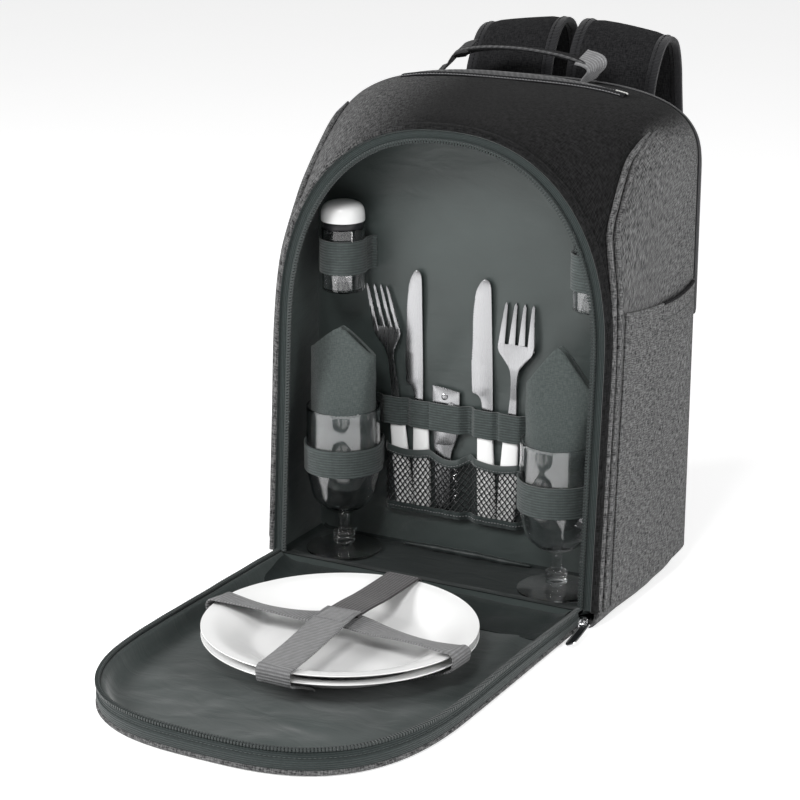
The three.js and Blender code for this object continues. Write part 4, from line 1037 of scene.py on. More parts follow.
def make_flap():
    rings = []
    for inset, z in ((0.4, 0.4), (-0.6, 1.8), (0.2, 3.2)):
        o = flap_outline(inset)
        o[:, 2] = z
        rings.append(o)
    low = []
    for inset, z in ((30, 0.05), (2.5, 0.05)):
        o = flap_outline(inset)
        o[:, 2] = z
        low.append(o)
    centre = np.array([0, -170, 0.05])
    inner = [centre + (low[0] - centre) * t for t in (0.05, 0.5)]
    top = flap_outline(2.0)
    top[:, 2] = 1.9
    stack = [*inner, *low, *rings, top, centre + [0, 0, 1.8] + (top - centre - [0, 0,
        1.8]) * 0.05]
    v, f, _ = rings_mesh(stack)
    uv = [(v[k][0], v[k][1]) for q in f for k in q]
    piece("flap_heather", (v, f, uv), "heather", "heather_cloth", "flap_outer", 70)

    edge = flap_outline(0.2)
    edge[:, 2] = 3.0
    piece("flap_piping", cord_mesh(edge, 1.7, 10), "heather", "heather_cloth", (), 70)

    rows = []
    for t, out in ((0, 0.3), (0.12, -0.5), (0.35, -1.3), (0.6, -1.2), (0.62, -0.4), (0.8, -0.1),
        (0.93, 0.3), (1, 1.0)):
        o = flap_outline(0.9 + out)
        o[:, 2] = [lerp(2.6, rim_z(p[1]) + wave(p), t) for p in o]
        rows.append(o)
    piece("flap_gusset", sheet_mesh(rows, 1.0), "tape", "zip_tape", "flap_band", 50)
    line = flap_outline(0.0)
    line[:, 2] = [lerp(2.6, rim_z(p[1]) + wave(p), 0.7) for p in line]
    out = line - [0, -150, 0]
    out[:, 2] = 0
    stitches("flap_stitches", line, out, "thread_dark", 3.4, slot="zip_tape")

    path = flap_outline(1.2)
    path[:, 2] = [rim_z(p[1]) + wave(p) + 1.3 for p in path]

    def across(p, d):
        s = np.cross(d, (0, 0, 1))
        s /= np.linalg.norm(s)
        return s if s @ (np.array([0, -150, p[2]]) - p) < 0 else -s

    teeth("flap_teeth", path, across, lambda p: np.array([0, 0, 1.0]), "zip_coil_flap")


def lining_relief(x, y):
    """Folds of the flap lining, in millimetres, none under the plates."""
    r = math.hypot(x, y - PLATE_Y)
    free = np.clip((r - 84) / 40, 0, 1)
    p = (x, y, 0)
    h = 2.2 * abs(rough(p, 46, 1.7)) + 1.0 * abs(rough(p, 20, 3.3))
    return free * h


def make_flap_lining():
    rings = []
    for inset, drop in ((1.9, 0.6), (3.0, 0.0), (4.6, 0.5), (6.0, 2.2), (7.4, 5.5), (9.4, 9.5),
        (13, 12.8), (18, 14.0)):
        o = flap_outline(inset)
        for p in o:
            z = rim_z(p[1]) + wave(p) - drop
            soft = 0.8 * rough(p, 22, 7.0) * min(1, drop / 6)
            p[2] = max(LINING_Z, z + soft)
        rings.append(o)
    centre = np.array([0.0, -165, LINING_Z])
    last = rings[-1].copy()
    for t in np.linspace(0.97, 0.03, 34):
        o = centre + (last - centre) * t
        for p, e in zip(o, last):
            base = lerp(LINING_Z, e[2], max(0, (t - 0.86) / 0.14) ** 2)
            p[2] = max(base, LINING_Z) + lining_relief(p[0], p[1]) * min(1, (1 - t) * 9)
        rings.append(o)
    v, f, _ = rings_mesh(rings, (False, True))
    uv = [(v[k][0], v[k][1]) for q in f for k in q]
    piece("flap_satin", (v, f, uv), "satin", "satin_lining", "flap_lining", 70)


def make_hinge():
    """Lining that runs from the compartment floor over the hinge into the flap."""
    rows = []
    for y, z in ((14, 8.6), (9, 9.0), (4, 9.4), (-1, 9.5), (-6, 9.0), (-11, 8.6), (-16, 7.6),
        (-22, 6.4), (-28, 5.8),
                 (-35, 5.0), (-42, 4.4), (-50, 4.0)):
        row = []
        for x in np.linspace(-129, 129, 90):
            end = max(0, (abs(x) - 112) / 17)
            lift = end * end * (5.5 if y < -4 else 2.5)
            crease = 1.9 * abs(rough((x * 0.5, y * 2, 0), 22, 4.4)) + 0.9 * abs(rough((x, y, 0),
                14, 1.4))
            crease += 1.4 * math.exp(-((y + 9 + 0.05 * x) / 4) ** 2)
            low = 0.3 if y in (14, -50) else 1
            row.append((x * (1 - 0.02 * (y < -6)), y, z + lift * low + crease * low))
        rows.append(row)
    # The hinge and, below, the floor seam roll use the darker satin: painted shade.
    o = piece("hinge_satin", sheet_mesh(rows, 0.7), "satin_painted_shade", "satin_lining", "flap_hinge",
        70)
    path = spline([(-62, 71.8, 10.0), (-45, 71.0, 10.6), (-28, 69.4, 11.4), (-10, 70.8, 10.8),
        (8, 69.0, 11.8), (26, 70.6, 10.6), (40, 69.4, 11.2), (54, 71.8, 10.0)], 90)
    t = np.linspace(0, 1, 91)
    piece("floor_seam_roll",
        cord_mesh(path,
        (0.8 + 2.0 * np.sin(np.pi * t) ** 0.5) * (1 + 0.16 * np.sin(t * 41) * np.sin(t * 17)),
        14), "satin_painted_shade", "satin_lining", "floor_seam", 70)


# Plates and their straps

def plate_profile(lift):
    r = PLATE_R - 34
    low = spline([(0, lift, 0), (r - 20, lift, 0), (r - 8, lift, 0), (r, lift + 1.2, 0),
        (r + 12, lift + 8, 0), (PLATE_R - 10, lift + PLATE_DEEP - 3.6, 0),
        (PLATE_R, lift + PLATE_DEEP - 1, 0)], 44)[:, :2]
    top = spline([(PLATE_R, lift + PLATE_DEEP, 0), (PLATE_R - 10.5, lift + PLATE_DEEP - 1.6, 0),
        (r + 10.5, lift + 10, 0), (r - 1, lift + 3.2, 0), (r - 9, lift + 2, 0),
        (r - 22, lift + 2, 0), (0, lift + 2, 0)], 44)[:, :2]
    edge = [(PLATE_R + 0.3, lift + PLATE_DEEP - 0.5)]
    return [tuple(p) for p in low] + edge + [tuple(p) for p in top]


def tilted(verts):
    """Plates and straps lie a little higher at the front, on the slack lining."""
    return [(p[0], p[1], p[2] + max(0.0, 1.2 - 0.025 * (p[1] - PLATE_Y)) * min(1,
        max(0, p[2] - 3.6) / 3)) for p in verts]


def make_plates():
    for name, lift in (("plate_lower", PLATE_LOW), ("plate_upper", PLATE_LOW + PLATE_NEST)):
        v, f, u = turned_mesh(plate_profile(lift), 128, 0, PLATE_Y)
        piece(f"{name}_dish", (tilted(v), f, u), "white", "white_plastic", name, 40)


STRAP_OVER = PLATE_LOW + PLATE_NEST + PLATE_DEEP + GAP + 0.95
STRAP_ROOT = LINING_Z + GAP + 0.95
STRAP_EDGE = PLATE_R + 2.4
RISE = [(-34, STRAP_ROOT), (-24, STRAP_ROOT + 3.6), (-12, STRAP_ROOT + 8.6),
    (-1.6, STRAP_ROOT + 12.6), (0.5, STRAP_OVER - 5), (0.2, STRAP_OVER - 1.6),
    (-2.6, STRAP_OVER + 0.9), (-9, STRAP_OVER + 0.9)]


def make_plate_straps():
    y = PLATE_Y
    left = [(-STRAP_EDGE - o, y - 4, z) for o, z in RISE]
    right = [(STRAP_EDGE + o, y - 10, z) for o, z in RISE][::-1]
    cross = spline([*left, (-70, y - 2, STRAP_OVER - 1.4), (-35, y + 2, STRAP_OVER - 2.6),
        (0, y + 5, STRAP_OVER - 0.6), (35, y + 1, STRAP_OVER - 2.6),
        (70, y - 6, STRAP_OVER - 0.6), *right], 150)
    n = len(cross)
    t = np.linspace(-1, 1, n)
    flutter = np.stack([np.zeros(n), np.ones(n), -0.3 * np.sin(np.abs(t) * math.pi * 1.15) ** 2],
        1)
    rings = section_sweep(cross, flutter, box_section(10, 0, 0.04), 28, 1.5)
    v, f, u = rings_mesh(rings)
    piece("cross_strap", (tilted(v), f, u), "webbing", "webbing", "plate_strap_cross", 50)
    lap = STRAP_OVER + 2.6
    for front in (True, False):
        way = -1 if front else 1
        rise = [(6 if front else -2, y + way * (STRAP_EDGE + o), z) for o, z in RISE]
        if front:
            rest = [(3, y - 60, lap - 1), (-1, y - 16, lap + 1.6), (-3, y + 2, lap + 1.8),
                (-3.5, y + 12, lap + 1.6)]
        else:
            rest = [(-3, y + 60, lap - 2), (-3.5, y + 30, lap - 0.8), (-3.5, y + 8, lap - 0.6)]
        path = spline([*rise, *rest], 110)
        strap_piece("front_strap" if front else "back_strap", tilted(path), (1, 0, 0), 28, 1.5,
            "webbing" if front else "hook", "webbing" if front else "hook_tape",
            "plate_strap_front" if front else "plate_strap_back", edge=0.04, sharp=50)
        if front:
            box = [(-14.4, -13), (8.6, -13), (8.2, 10), (-15, 10), (-14.4, -13)]
            line = np.array([(a, y + b, lap + 2.75) for a, b in box])
            fine = np.vstack([np.linspace(p, q, 12) for p, q in zip(line[:-1], line[1:])])
            stitches("strap_end_stitches", tilted(fine), (0, 0, 1), "thread_grey", 2.6, 1.9, 0.34,
                slot="webbing")


# Ware

def make_goblet(k):
    low = FLOOR_Z + GAP
    x = GOBLET_X[k]
    top = low + GOBLET_TALL
    out = [(5, 31), (9, 32.8), (15, 36), (20.5, 40.5), (25, 46), (27.2, 55), (29.4, 66),
        (GOBLET_BOWL, 80), (GOBLET_BOWL, 96), (GOBLET_BOWL - 0.5, 110),
        (GOBLET_RIM + 0.2, GOBLET_TALL - 1)]
    outer = spline([(r, low + z, 0) for r, z in out], 44)[:, :2]
    inner = [(r - 1.5, z + 0.6) for r, z in outer[6:]][::-1]
    foot = spline([(31, low + 0.8, 0), (30.4, low + 1.5, 0), (22, low + 2.2, 0),
        (10, low + 3.2, 0), (5, low + 4.8, 0), (4.6, low + 6, 0)], 20)[:, :2]
    collar = [(8.6, low + 6.4), (9.0, low + 7), (9.0, low + 8), (8.0, low + 8.5), (8.8, low + 9),
        (8.8, low + 13), (8.0, low + 13.6), (8.9, low + 14.2), (8.6, low + 15.4), (4.6, low + 16),
        (4.2, low + 22), (4.4, low + 28)]
    profile = [(0, low), (28, low), (30.6, low + 0.1), *map(tuple, foot), *collar,
        *map(tuple, outer), (GOBLET_RIM, top), (GOBLET_RIM - 0.9, top), *inner, (0, low + 36.6)]
    v, f, u = turned_mesh(profile, 96, x, GOBLET_Y)
    side = ("left", "right")[k]
    piece(f"goblet_{side}_clear", (v, f, u), "clear", "clear_plastic", f"goblet_{side}", 45)


def make_napkin(k):
    x = GOBLET_X[k]
    rim = FLOOR_Z + GOBLET_TALL
    shoulder = (176, 172)[k]
    peak = (196.5, 206)[k]
    table = np.array([[62, 13, 11], [84, 23.5, 19], [rim - 22, 26.6, 22], [rim - 4, 26.8, 19],
        [rim + 12, 27.6, 15], [lerp(rim, shoulder, 0.65), 28.5, 9], [shoulder, 28.5, 5.5]])
    sides = 72
    rows = []
    for z in np.linspace(62, shoulder, 44):
        _, wide, deep = ease(table, z)
        row = []
        for i in range(sides):
            a = i / sides * 2 * math.pi
            pleat = 1 + 0.035 * math.sin(5 * a + z * 0.035 + k) * np.clip((z - 70) / 40, 0, 1)
            fold = 0.6 * rough((math.cos(a) * 20, math.sin(a) * 20, z), 18, 3.0 + k)
            row.append((x + wide * pleat * math.cos(a) + fold * 0.6,
                GOBLET_Y + deep * pleat * math.sin(a) + fold, z))
        rows.append(row)
    base = np.array(rows[-1])
    for t in np.linspace(0.1, 1, 12):
        row = []
        for p in base:
            reach = min(1, abs(p[0] - x) / 28.5)
            z = min(lerp(shoulder, peak, t), peak - (peak - shoulder) * reach ** 1.15)
            yy = GOBLET_Y + (p[1] - GOBLET_Y) * lerp(1, 0.55, t) - 1.5 * t
            row.append((x + (p[0] - x) * (1 - 0.06 * t), yy, max(z, shoulder + 0.5 * t)))
        rows.append(row)
    v, f, u = sheet_mesh(rows, 1.2, True)
    side = ("left", "right")[k]
    o = piece(f"napkin_{side}_cloth", (v, f, u), "napkin", "napkin_cloth", f"napkin_{side}", 60)


def make_shaker(k):
    low = SHAKER_LOW[k]
    x, y, r = SHAKER_X[k], SHAKER_Y, 17.2
    top = low + 51
    side = ("left", "right")[k]
    piece(f"shaker_{side}_clear", turned_mesh([(0, low), (r - 3, low), (r - 1, low + 0.8),
        (r, low + 2.4), (r, top - 1), (r - 0.4, top), (r - 1.4, top), (r - 1.5, low + 3.4),
        (r - 3.4, low + 1.8), (0, low + 1.8)], 64, x, y), "clear", "clear_plastic",
        f"shaker_body_{side}", 45)
    c = top + GAP
    dome = spline([(17.6, c + 6.4, 0), (17.5, c + 11, 0), (16.9, c + 14.6, 0), (15.2, c + 18, 0),
        (11.5, c + 20.4, 0), (6, c + 21.6, 0), (0.2, c + 22, 0)], 24)[:, :2]
    piece(f"shaker_{side}_dome", turned_mesh([(0, c + 5.6), (16.6, c + 5.6), (17.5, c + 5.9),
        *map(tuple, dome), (0, c + 22)], 64, x, y), "white", "white_plastic",
        f"shaker_cap_{side}", 45)
    piece(f"shaker_{side}_ring", turned_mesh([(0, c), (15.8, c), (16.2, c + 0.4), (16.2, c + 5.0),
        (15.8, c + 5.5), (0, c + 5.5)], 64, x, y), "black_plastic", "white_plastic", (), 45)


def make_loop(name, x, y, radius, low, high, tuck=False):
    reach = radius + 1.15
    sewn = WALL_Y - GAP - 0.7
    middle = min(y, sewn - 4)
    sweep = math.pi + (0.68 if tuck else 0)
    hug = 0.55
    inner = reach * math.cos(hug)
    course = [(x - inner - 5, sewn), (x - inner - 1, sewn - 0.6)]
    for a in np.linspace(math.pi - hug, math.pi + sweep + (0 if tuck else hug), 60):
        course.append((x + reach * math.cos(a), middle + reach * math.sin(a)))
    if tuck:
        course += [(x + reach * 0.69, sewn - 5), (x + reach * 0.6, sewn - 0.6),
            (x + reach * 0.47, sewn)]
    else:
        course += [(x + inner + 1, sewn - 0.6), (x + inner + 5, sewn)]
    course = np.array(course)
    rows = []
    for t in np.linspace(0, 1, 7):
        z = lerp(low, high, t)
        rows.append([(a, b, z + 0.5 * rough((a, b, 0), 25, 1.0)) for a, b in course])
    piece(name + "_elastic", sheet_mesh(rows, 1.2), "elastic", "elastic", name, 55)


# x, z of the foot, lean to the right for each unit of height
WARE = {"fork_left": (-59, 41.5, -0.1), "knife_left": (-43.5, 42.5, -0.02),
    "knife_right": (15, 41.4, -0.032), "fork_right": (31.4, 42.3, 0.0565)}


def leaned(verts, plan):
    x, z, lean = plan
    return [(p[0] + lean * p[2] + x, p[1], p[2] + z) for p in verts]


def make_grip(name, plan):
    length = WARE_TOP - plan[1]
    table = [[0, 4.8, 1.6], [0.02, 6.7, 2.1], [0.07, 7.9, 2.3], [0.3, 8.1, 2.3], [0.7, 7.2, 2.2],
        [0.93, 6.7, 2.1], [1, 6.4, 1.9]]
    rings = []
    for t in np.r_[0, 0.01, 0.025, np.linspace(0.05, 0.95, 26), 0.985, 1]:
        _, wide, deep = ease(table, t)
        a = np.arange(28) / 28 * 2 * np.pi
        cx = np.sign(np.cos(a)) * np.abs(np.cos(a)) ** 0.75
        sy = np.sign(np.sin(a)) * np.abs(np.sin(a)) ** 0.75
        rings.append(np.stack([wide * cx, WARE_Y + deep * sy, np.full(28, t * length)], 1))
    v, f, u = rings_mesh(rings)
    piece(name + "_grip", (leaned(v, plan), f, u), "white", "white_plastic",
        name.replace("fork_", "fork_handle_").replace("knife_", "knife_handle_"), 50)


def cut_out(outline, y, thick, bevel):
    """A flat outline in X and Z with soft edges."""
    bm = bmesh.new()
    vs = [bm.verts.new((x, y - thick / 2, z)) for x, z in outline]
    face = bm.faces.new(vs)
    ext = bmesh.ops.extrude_face_region(bm, geom=[face])
    bmesh.ops.translate(bm, verts=[g for g in ext["geom"] if isinstance(g, bmesh.types.BMVert)],
        vec=(0, thick, 0))
    bmesh.ops.recalc_face_normals(bm, faces=bm.faces)
    edges = [e for e in bm.edges if any(len(f.verts) > 6 for f in e.link_faces)]
    bmesh.ops.bevel(bm, geom=edges, offset=bevel, segments=2, profile=0.5, affect="EDGES")
    bmesh.ops.triangulate(bm, faces=[f for f in bm.faces if len(f.verts) > 4])
    verts = [tuple(v.co) for v in bm.verts]
    bm.verts.index_update()
    faces = [[v.index for v in f.verts] for f in bm.faces]
    bm.free()
    return verts, faces, [(0, 0)] * sum(len(q) for q in faces)


def make_knife(name, plan):
    low = WARE_TOP - plan[1] + GAP
    tip = 241.5 - plan[1]
    right = spline([(4.9, low, 0), (5.0, low + 12, 0), (5.4, low + 40, 0), (5.5, low + 80, 0),
        (5.5, tip - 10, 0), (5.0, tip - 3.6, 0), (3.4, tip - 0.7, 0), (1.4, tip, 0)], 60)[:, :2]
    left = spline([(1.4, tip, 0), (-0.6, tip - 0.9, 0), (-3.4, tip - 5, 0), (-6, tip - 12, 0),
        (-8.4, tip - 28, 0), (-9.4, tip - 52, 0), (-10.2, low + 50, 0), (-10.4, low + 32, 0),
        (-10.3, low + 22, 0)], 90)[:, :2]
    teeth_left = [(x + (0.7 if i % 2 and 18 < i < 66 else 0), z) for i, (x, z) in enumerate(left)]
    neck = spline([(-9.8, low + 20.4, 0), (-6, low + 19, 0), (-3.6, low + 14.5, 0),
        (-2.7, low, 0)], 10)[:, :2]
    outline = [*map(tuple, right), *teeth_left[1:], *map(tuple, neck)]
    move, broad = (-2.5, 1.0) if name == "knife_left" else (1.6, 1.18)
    outline = [(x * broad + move, z) for x, z in outline]

    v, f, u = cut_out(outline, WARE_Y, 1.5, 0.3)
    piece(name + "_steel", (leaned(v, plan), f, u), "steel", "steel",
        name.replace("knife_", "knife_blade_"), 30)


def make_fork(name, plan):
    low = WARE_TOP - plan[1] + GAP
    root, tip = low + 62, low + 98

    def bow(z):
        s = np.clip((z - low - 20) / 78, 0, 1)
        return WARE_Y - 3.2 * math.sin(s * math.pi * 0.9) + 1.2 * s

    table = [[0, 8.8, 2.6], [0.15, 7.4, 2.4], [0.5, 5.4, 2.2], [0.68, 7.4, 1.8], [0.8, 16, 1.5],
        [0.9, 25.2, 1.4], [1, 27.6, 1.4]]
    rings = []
    for t in np.linspace(0, 1, 50):
        _, w, th = ease(table, t)
        z = lerp(low, root + 3, t)
        dish = 1.6 * np.clip((t - 0.7) / 0.3, 0, 1)
        ring = []
        for a, b in box_section(9, 0, 0.1):
            ring.append((a * w / 2, bow(z) + b * th / 2 + dish * (1 - a * a), z))
        rings.append(ring)
    parts = [rings_mesh(rings)]
    for i in range(4):
        cx = -11.1 + i * 7.4
        rings = []
        for t in np.linspace(0, 1, 16):
            z = lerp(root - 1, tip, t)
            w = lerp(5.5, 2.4, t) * (1 if t < 0.92 else math.sqrt(max(0.05,
                1 - ((t - 0.92) / 0.08) ** 2)))
            dish = 1.6 * (1 - (cx / 13.8) ** 2)
            rings.append([(cx * (1 - 0.1 * t) + a * w / 2, bow(z) + dish + b * 0.7, z) for a,
                b in box_section(4, 0, 0.2)])
        parts.append(rings_mesh(rings))
    v, f, u = join_meshes(parts)
    broad, swing = (0.9, -8) if name == "fork_left" else (1.16, 0)
    v = [(p[0] * lerp(1, broad, np.clip((p[2] - low - 30) / 20, 0, 1)) + swing * max(0,
        (p[2] - root + 14) / 50) ** 1.5, p[1], p[2]) for p in v]
    piece(name + "_steel", (leaned(v, plan), f, u), "steel", "steel",
        name.replace("fork_", "fork_head_"), 40)


def make_opener():
    x0 = -22
    body = spline([(-6, 43, 0), (0, 43, 0), (3.2, 48, 0), (4, 70, 0), (4.6, 92, 0), (10, 108, 0),
        (11.6, 118, 0), (12, 144, 0), (10.5, 146.4, 0), (-10, 148.6, 0), (-12.2, 146.6, 0),
        (-12, 118, 0), (-10.4, 96, 0), (-9.4, 60, 0), (-8.6, 46, 0), (-6, 43, 0)], 110)[:-1, :2]
    v, f, u = cut_out([(x + x0, z) for x, z in body], WARE_Y, 2.0, 0.4)
    parts = [(v, f, u)]
    lever = [(-9, 100), (8.5, 104), (9.8, 128), (8.5, 135), (4, 137), (0, 132), (-6, 126),
        (-9.4, 118)]
    smooth_lever = spline([(x, z, 0) for x, z in [*lever, lever[0]]], 40)[:-1, :2]
    parts.append(cut_out([(x + x0, z) for x, z in smooth_lever], WARE_Y - 1.7, 1.2, 0.35))
    a = np.arange(20) / 20 * 2 * np.pi
    for cx, cz, r in ((x0 - 2, 52, 2.2), (x0 - 1, 141, 2.6)):
        rings = [np.stack([cx + r * s * np.cos(a), np.full(20, WARE_Y - d),
            cz + r * s * np.sin(a)], 1) for s, d in ((1, 0.9), (1, 2.0), (0.7, 2.4), (0.2, 2.5))]
        parts.append(rings_mesh(rings))
    piece("opener_steel", join_meshes(parts), "steel", "steel", "opener_body", 35)
    t = np.linspace(0, 1, 140)
    worm = np.stack([x0 + 9 + 2.1 * np.cos(t * 8 * np.pi), WARE_Y + 1.4 * np.sin(t * 8 * np.pi),
        lerp(88, 52, t)], 1)
    piece("opener_worm_steel", cord_mesh(worm, np.interp(t, [0, 0.92, 1], [0.95, 0.95, 0.2]), 8),
        "zinc", "steel", "opener_worm", 50)


BAND_COURSE = [(-86, 0), (-82, 0.1), (-77.5, 1), (-70, 1.0), (-62, 1), (-56.5, 0.35), (-52, 1),
    (-39, 1), (-37, 0.7), (-35, 1), (-20, 1.05), (-9, 1), (-3, 0), (1, 0), (4.5, 1), (20, 1),
    (24, 0.5), (27.5, 1), (44, 1), (48.5, 0.1), (53, 0)]
NET_COURSE = [(-77.2, 0), (-76.2, 0.1), (-73.4, 1), (-55, 1.05), (-37, 1), (-33.5, 1),
    (-20, 1.05), (-8, 1), (-3, 0.15), (1, 0.15), (6, 1), (25, 1.05), (43, 1), (46.4, 0.1),
    (48, 0)]


def wall_course(course, thick):
    sewn = WALL_Y - GAP - thick / 2 - 0.8
    proud = WARE_Y - 2.3 - 0.5 - thick / 2
    c = np.array(course, float)
    xs = np.linspace(c[0, 0], c[-1, 0], 160)
    out = np.interp(xs, c[:, 0], c[:, 1])
    ker = np.exp(-np.linspace(-2, 2, 7) ** 2)
    out = np.convolve(np.pad(out, 3, "edge"), ker / ker.sum(), "valid")
    return xs, sewn + (proud - sewn) * out


def make_bands():
    xs, ys = wall_course(BAND_COURSE, 1.2)
    rows = [[(x, y, z + 0.35 * rough((x, 0, z), 14, 1)) for x,
        y in zip(xs, ys)] for z in np.linspace(112, 135, 7)]
    piece("cutlery_elastic", sheet_mesh(rows, 1.1), "elastic", "elastic", "cutlery_band", 55)
    for k, x in enumerate((-84, -56.5, -37, -1, 24, 51)):
        y = np.interp(x, xs, ys) - 0.8
        stitches(f"band_stitches_{k}", [(x, y, 112.8), (x, y, 123), (x, y, 134.2)], (0, -1, 0),
            "thread_dark", 2.4, 1.7, slot="elastic")

    xs, ys = wall_course(NET_COURSE, 0.9)

    def on_net(x, z):
        sag = (3.0 * math.sin(math.pi * np.clip((x + 76) / 41, 0,
            1)) + 6.5 * math.sin(math.pi * np.clip((x + 35) / 34, 0,
            1)) + 4.0 * math.sin(math.pi * np.clip((x + 1) / 48, 0, 1)))
        return np.array([x, np.interp(x, xs, ys), z - sag * np.clip((z - 46) / 46, 0, 1)])

    parts = []
    pitch = 4.6
    for way in (1, -1):
        x = -77 - 46
        while x < 48 + 46:
            pts = []
            for t in np.linspace(0, 1, 23):
                px = x + way * t * 34 if way > 0 else x + 34 - t * 34
                pz = 46 + t * 46
                if -77 <= px <= 48:
                    zig = 0.25 * math.sin(t * 40)
                    pts.append(on_net(px + zig, pz) + [0, -0.15 * way, 0])
            if len(pts) > 1:
                parts.append(cord_mesh(pts, 0.52, 5))
            x += pitch
    v, f, u = join_meshes(parts)
    piece("net_threads", (v, f, u), "net", "net", "net_pocket", 60)

    for name, low, high, node_name in (("net_top", 89, 95.6, "net_top_binding"),
        ("net_foot", 40, 46.4, "net_foot_binding")):
        rows = []
        for t in np.linspace(0, 1, 5):
            z = lerp(low, high, t)
            bulge = 0.5 * math.sin(math.pi * t)
            rows.append([on_net(x, z) + [0, -bulge - 0.3 + (0.4 * rough((x, 0, 0), 4,
                2) if low < 50 else 0),
                0.5 * rough((x, 0, 0), 7, 2) if low < 50 else 0] for x in xs])
        rows = np.array(rows)
        piece(f"{name}_tape", sheet_mesh(rows, 1.2), "satin" if name == "net_top" else "tape",
            "elastic", node_name, 55)
        line = rows[1 if name == "net_top" else 2] + [0, -0.9, 0]
        stitches(f"{name}_stitches", line, (0, -1, 0), "thread_grey", 2.6, 1.7, 0.26,
            slot="elastic")


def make_slider(side):
    name = "left" if side < 0 else "right"
    x = (OPEN[0] + 1) * side
    parts = []
    ring = [(-1, -0.6), (-0.7, -1), (0.7, -1), (1, -0.6), (1, 0.6), (0.7, 1), (-0.7, 1),
        (-1, 0.6)]
    for y0, y1, s in ((-7.2, -5.0, 1), (-3.4, -1.2, 1), (-5.0, -3.4, 0.55)):
        rings = [[(x + a * 4.3 * s * q, y, 6 + b * 3.4 * q) for a, b in ring] for y,
            q in ((y0, 0.86), (y0 + 0.3, 1), (y1 - 0.3, 1), (y1, 0.86))]
        parts.append(rings_mesh(rings))
    bridge = spline([(x, -7, 3.4), (x, -9.4, 4), (x, -9.8, 6), (x, -9.4, 8), (x, -7, 8.8)], 14)
    parts.append(cord_mesh(bridge, 1.0, 8))
    if side < 0:
        tab = section_sweep(spline([(x, -9, 6), (x - 5, -8, 6.2), (x - 14, -5.4, 5.4)], 10),
            (0, 1, 0.2), box_section(5, 0, 0.2), 5, 1.4)
        parts.append(rings_mesh(tab))
        piece(f"zip_slider_{name}_metal", join_meshes(parts), "zinc", "zinc",
            f"zip_slider_{name}", 35)
        return
    ring_path = [(x + 5 + 3.4 * math.cos(a), -10 + 3.4 * math.sin(a),
        6.2) for a in np.linspace(0.4, 5.9, 20)]
    parts.append(cord_mesh(ring_path, 0.8, 8))
    run = np.array([0.06, -1, -0.1])
    run /= np.linalg.norm(run)
    wide = np.array([1, 0.06, 0.35])
    wide /= np.linalg.norm(wide)
    start = np.array([x + 5.6, -11, 6.4])
    outline = [(-2.6, 0), (2.6, 0), (3.6, 6), (3.8, 26), (3.2, 30), (1.4, 32), (-1.4, 32),
        (-3.2, 30), (-3.8, 26), (-3.6, 6)]
    loop = [start + wide * a + run * b for a, b in [*outline, outline[0]]]
    parts.append(cord_mesh(spline(loop, 60), 0.85, 8))
    piece(f"zip_slider_{name}_metal", join_meshes(parts), "zinc", "zinc", f"zip_slider_{name}",
        35)
    core = section_sweep([start + run * 1.5, start + run * 16, start + run * 30.5], wide,
        box_section(4, 0, 0.1), 6.2, 0.9)
    piece("zip_tab_core", rings_mesh(core), "black_plastic", "zinc", (), 40)


make_shell()
make_back()
make_liner()
make_body_tape()
make_body_teeth()
make_top()
make_handle()
make_rear_band()
for s in (-1, 1):
    make_corner_fold(s)
    make_side_pocket(s)
    make_slider(s)
make_flap()
make_flap_lining()
make_hinge()
make_plates()
make_plate_straps()
for k, name in enumerate(("left", "right")):
    make_strap(k)
    make_goblet(k)
    make_napkin(k)
    make_shaker(k)
    make_loop(f"goblet_loop_{name}", GOBLET_X[k], GOBLET_Y, GOBLET_BOWL, (79, 77)[k],
        (101, 102)[k], k == 0)
    make_loop(f"shaker_loop_{name}", SHAKER_X[k], SHAKER_Y, 17.2, (238, 250.5)[k], (265, 278)[k])
    make_grip(f"fork_{name}", WARE[f"fork_{name}"])
    make_fork(f"fork_{name}", WARE[f"fork_{name}"])
    make_grip(f"knife_{name}", WARE[f"knife_{name}"])
    make_knife(f"knife_{name}", WARE[f"knife_{name}"])
make_opener()
make_bands()


# Camera, floor and light

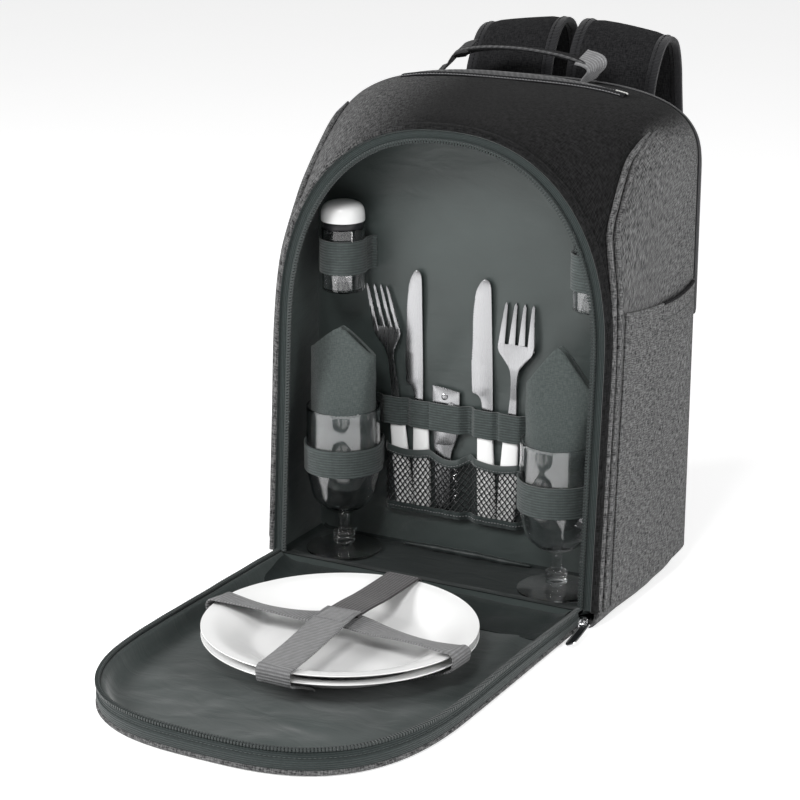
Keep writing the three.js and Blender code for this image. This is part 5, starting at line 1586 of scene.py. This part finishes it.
def add_camera():
    yaw, pitch = math.radians(28.445), math.radians(17.345)
    forward = Vector((-math.sin(yaw) * math.cos(pitch), math.cos(yaw) * math.cos(pitch),
        -math.sin(pitch)))
    cam = bpy.data.cameras.new("camera")
    cam.lens = 108
    cam.sensor_width = 36
    cam.clip_end = 20
    o = bpy.data.objects.new("camera", cam)
    o.location = (0.815744, -1.64773, 0.708835)
    o.rotation_euler = forward.to_track_quat("-Z", "Y").to_euler()
    bpy.context.scene.collection.objects.link(o)
    bpy.context.scene.camera = o


def add_floor():
    me = bpy.data.meshes.new("floor")
    s = 6
    me.from_pydata([(-s, -s, -0.0005), (s, -s, -0.0005), (s, s, -0.0005), (-s, s, -0.0005)], [],
        [[0, 1, 2, 3]])
    m, nt, bsdf = tree("floor")
    n = node(nt, "TexNoise", Vector=coords(nt, (3, 3, 3), False), Scale=1.0, Detail=2.0)
    nt.links.new(mixed(nt, (0.9, 0.9, 0.9), (0.93, 0.93, 0.93), n.outputs[0]),
        bsdf.inputs["Base Color"])
    settle(bsdf, {"Roughness": 0.7, "Emission Color": (1, 1, 1, 1), "Emission Strength": 0.52})
    me.materials.append(m)
    o = bpy.data.objects.new("floor", me)
    bpy.context.scene.collection.objects.link(o)


def add_light(name, where, target, size, power):
    d = bpy.data.lights.new(name, "AREA")
    d.shape = "RECTANGLE"
    d.size, d.size_y = size
    d.energy = power
    o = bpy.data.objects.new(name, d)
    o.location = where
    o.rotation_euler = (Vector(target) - Vector(where)).to_track_quat("-Z", "Y").to_euler()
    bpy.context.scene.collection.objects.link(o)


def add_lights():
    world = bpy.data.worlds.new("studio")
    world.use_nodes = True
    world.node_tree.nodes["Background"].inputs[0].default_value = (1, 1, 1, 1)
    world.node_tree.nodes["Background"].inputs[1].default_value = 0.25
    bpy.context.scene.world = world
    add_light("left", (-1.35, -1.5, 1.15), (0, -0.05, 0.2), (0.6, 0.7), 30)
    add_light("right", (1.9, -0.2, 0.75), (0, 0, 0.18), (0.9, 1.3), 20)
    add_light("front", (0.2, -1.7, 1.75), (0, -0.2, 0.1), (0.6, 0.5), 22)
    view = bpy.context.scene.view_settings
    view.view_transform = "Standard"
    view.look = "None"
    view.exposure = 0.14


add_camera()
add_floor()
add_lights()

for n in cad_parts.values():
    if not n.hide_render:
        print("CAD node still showing:", n.name)
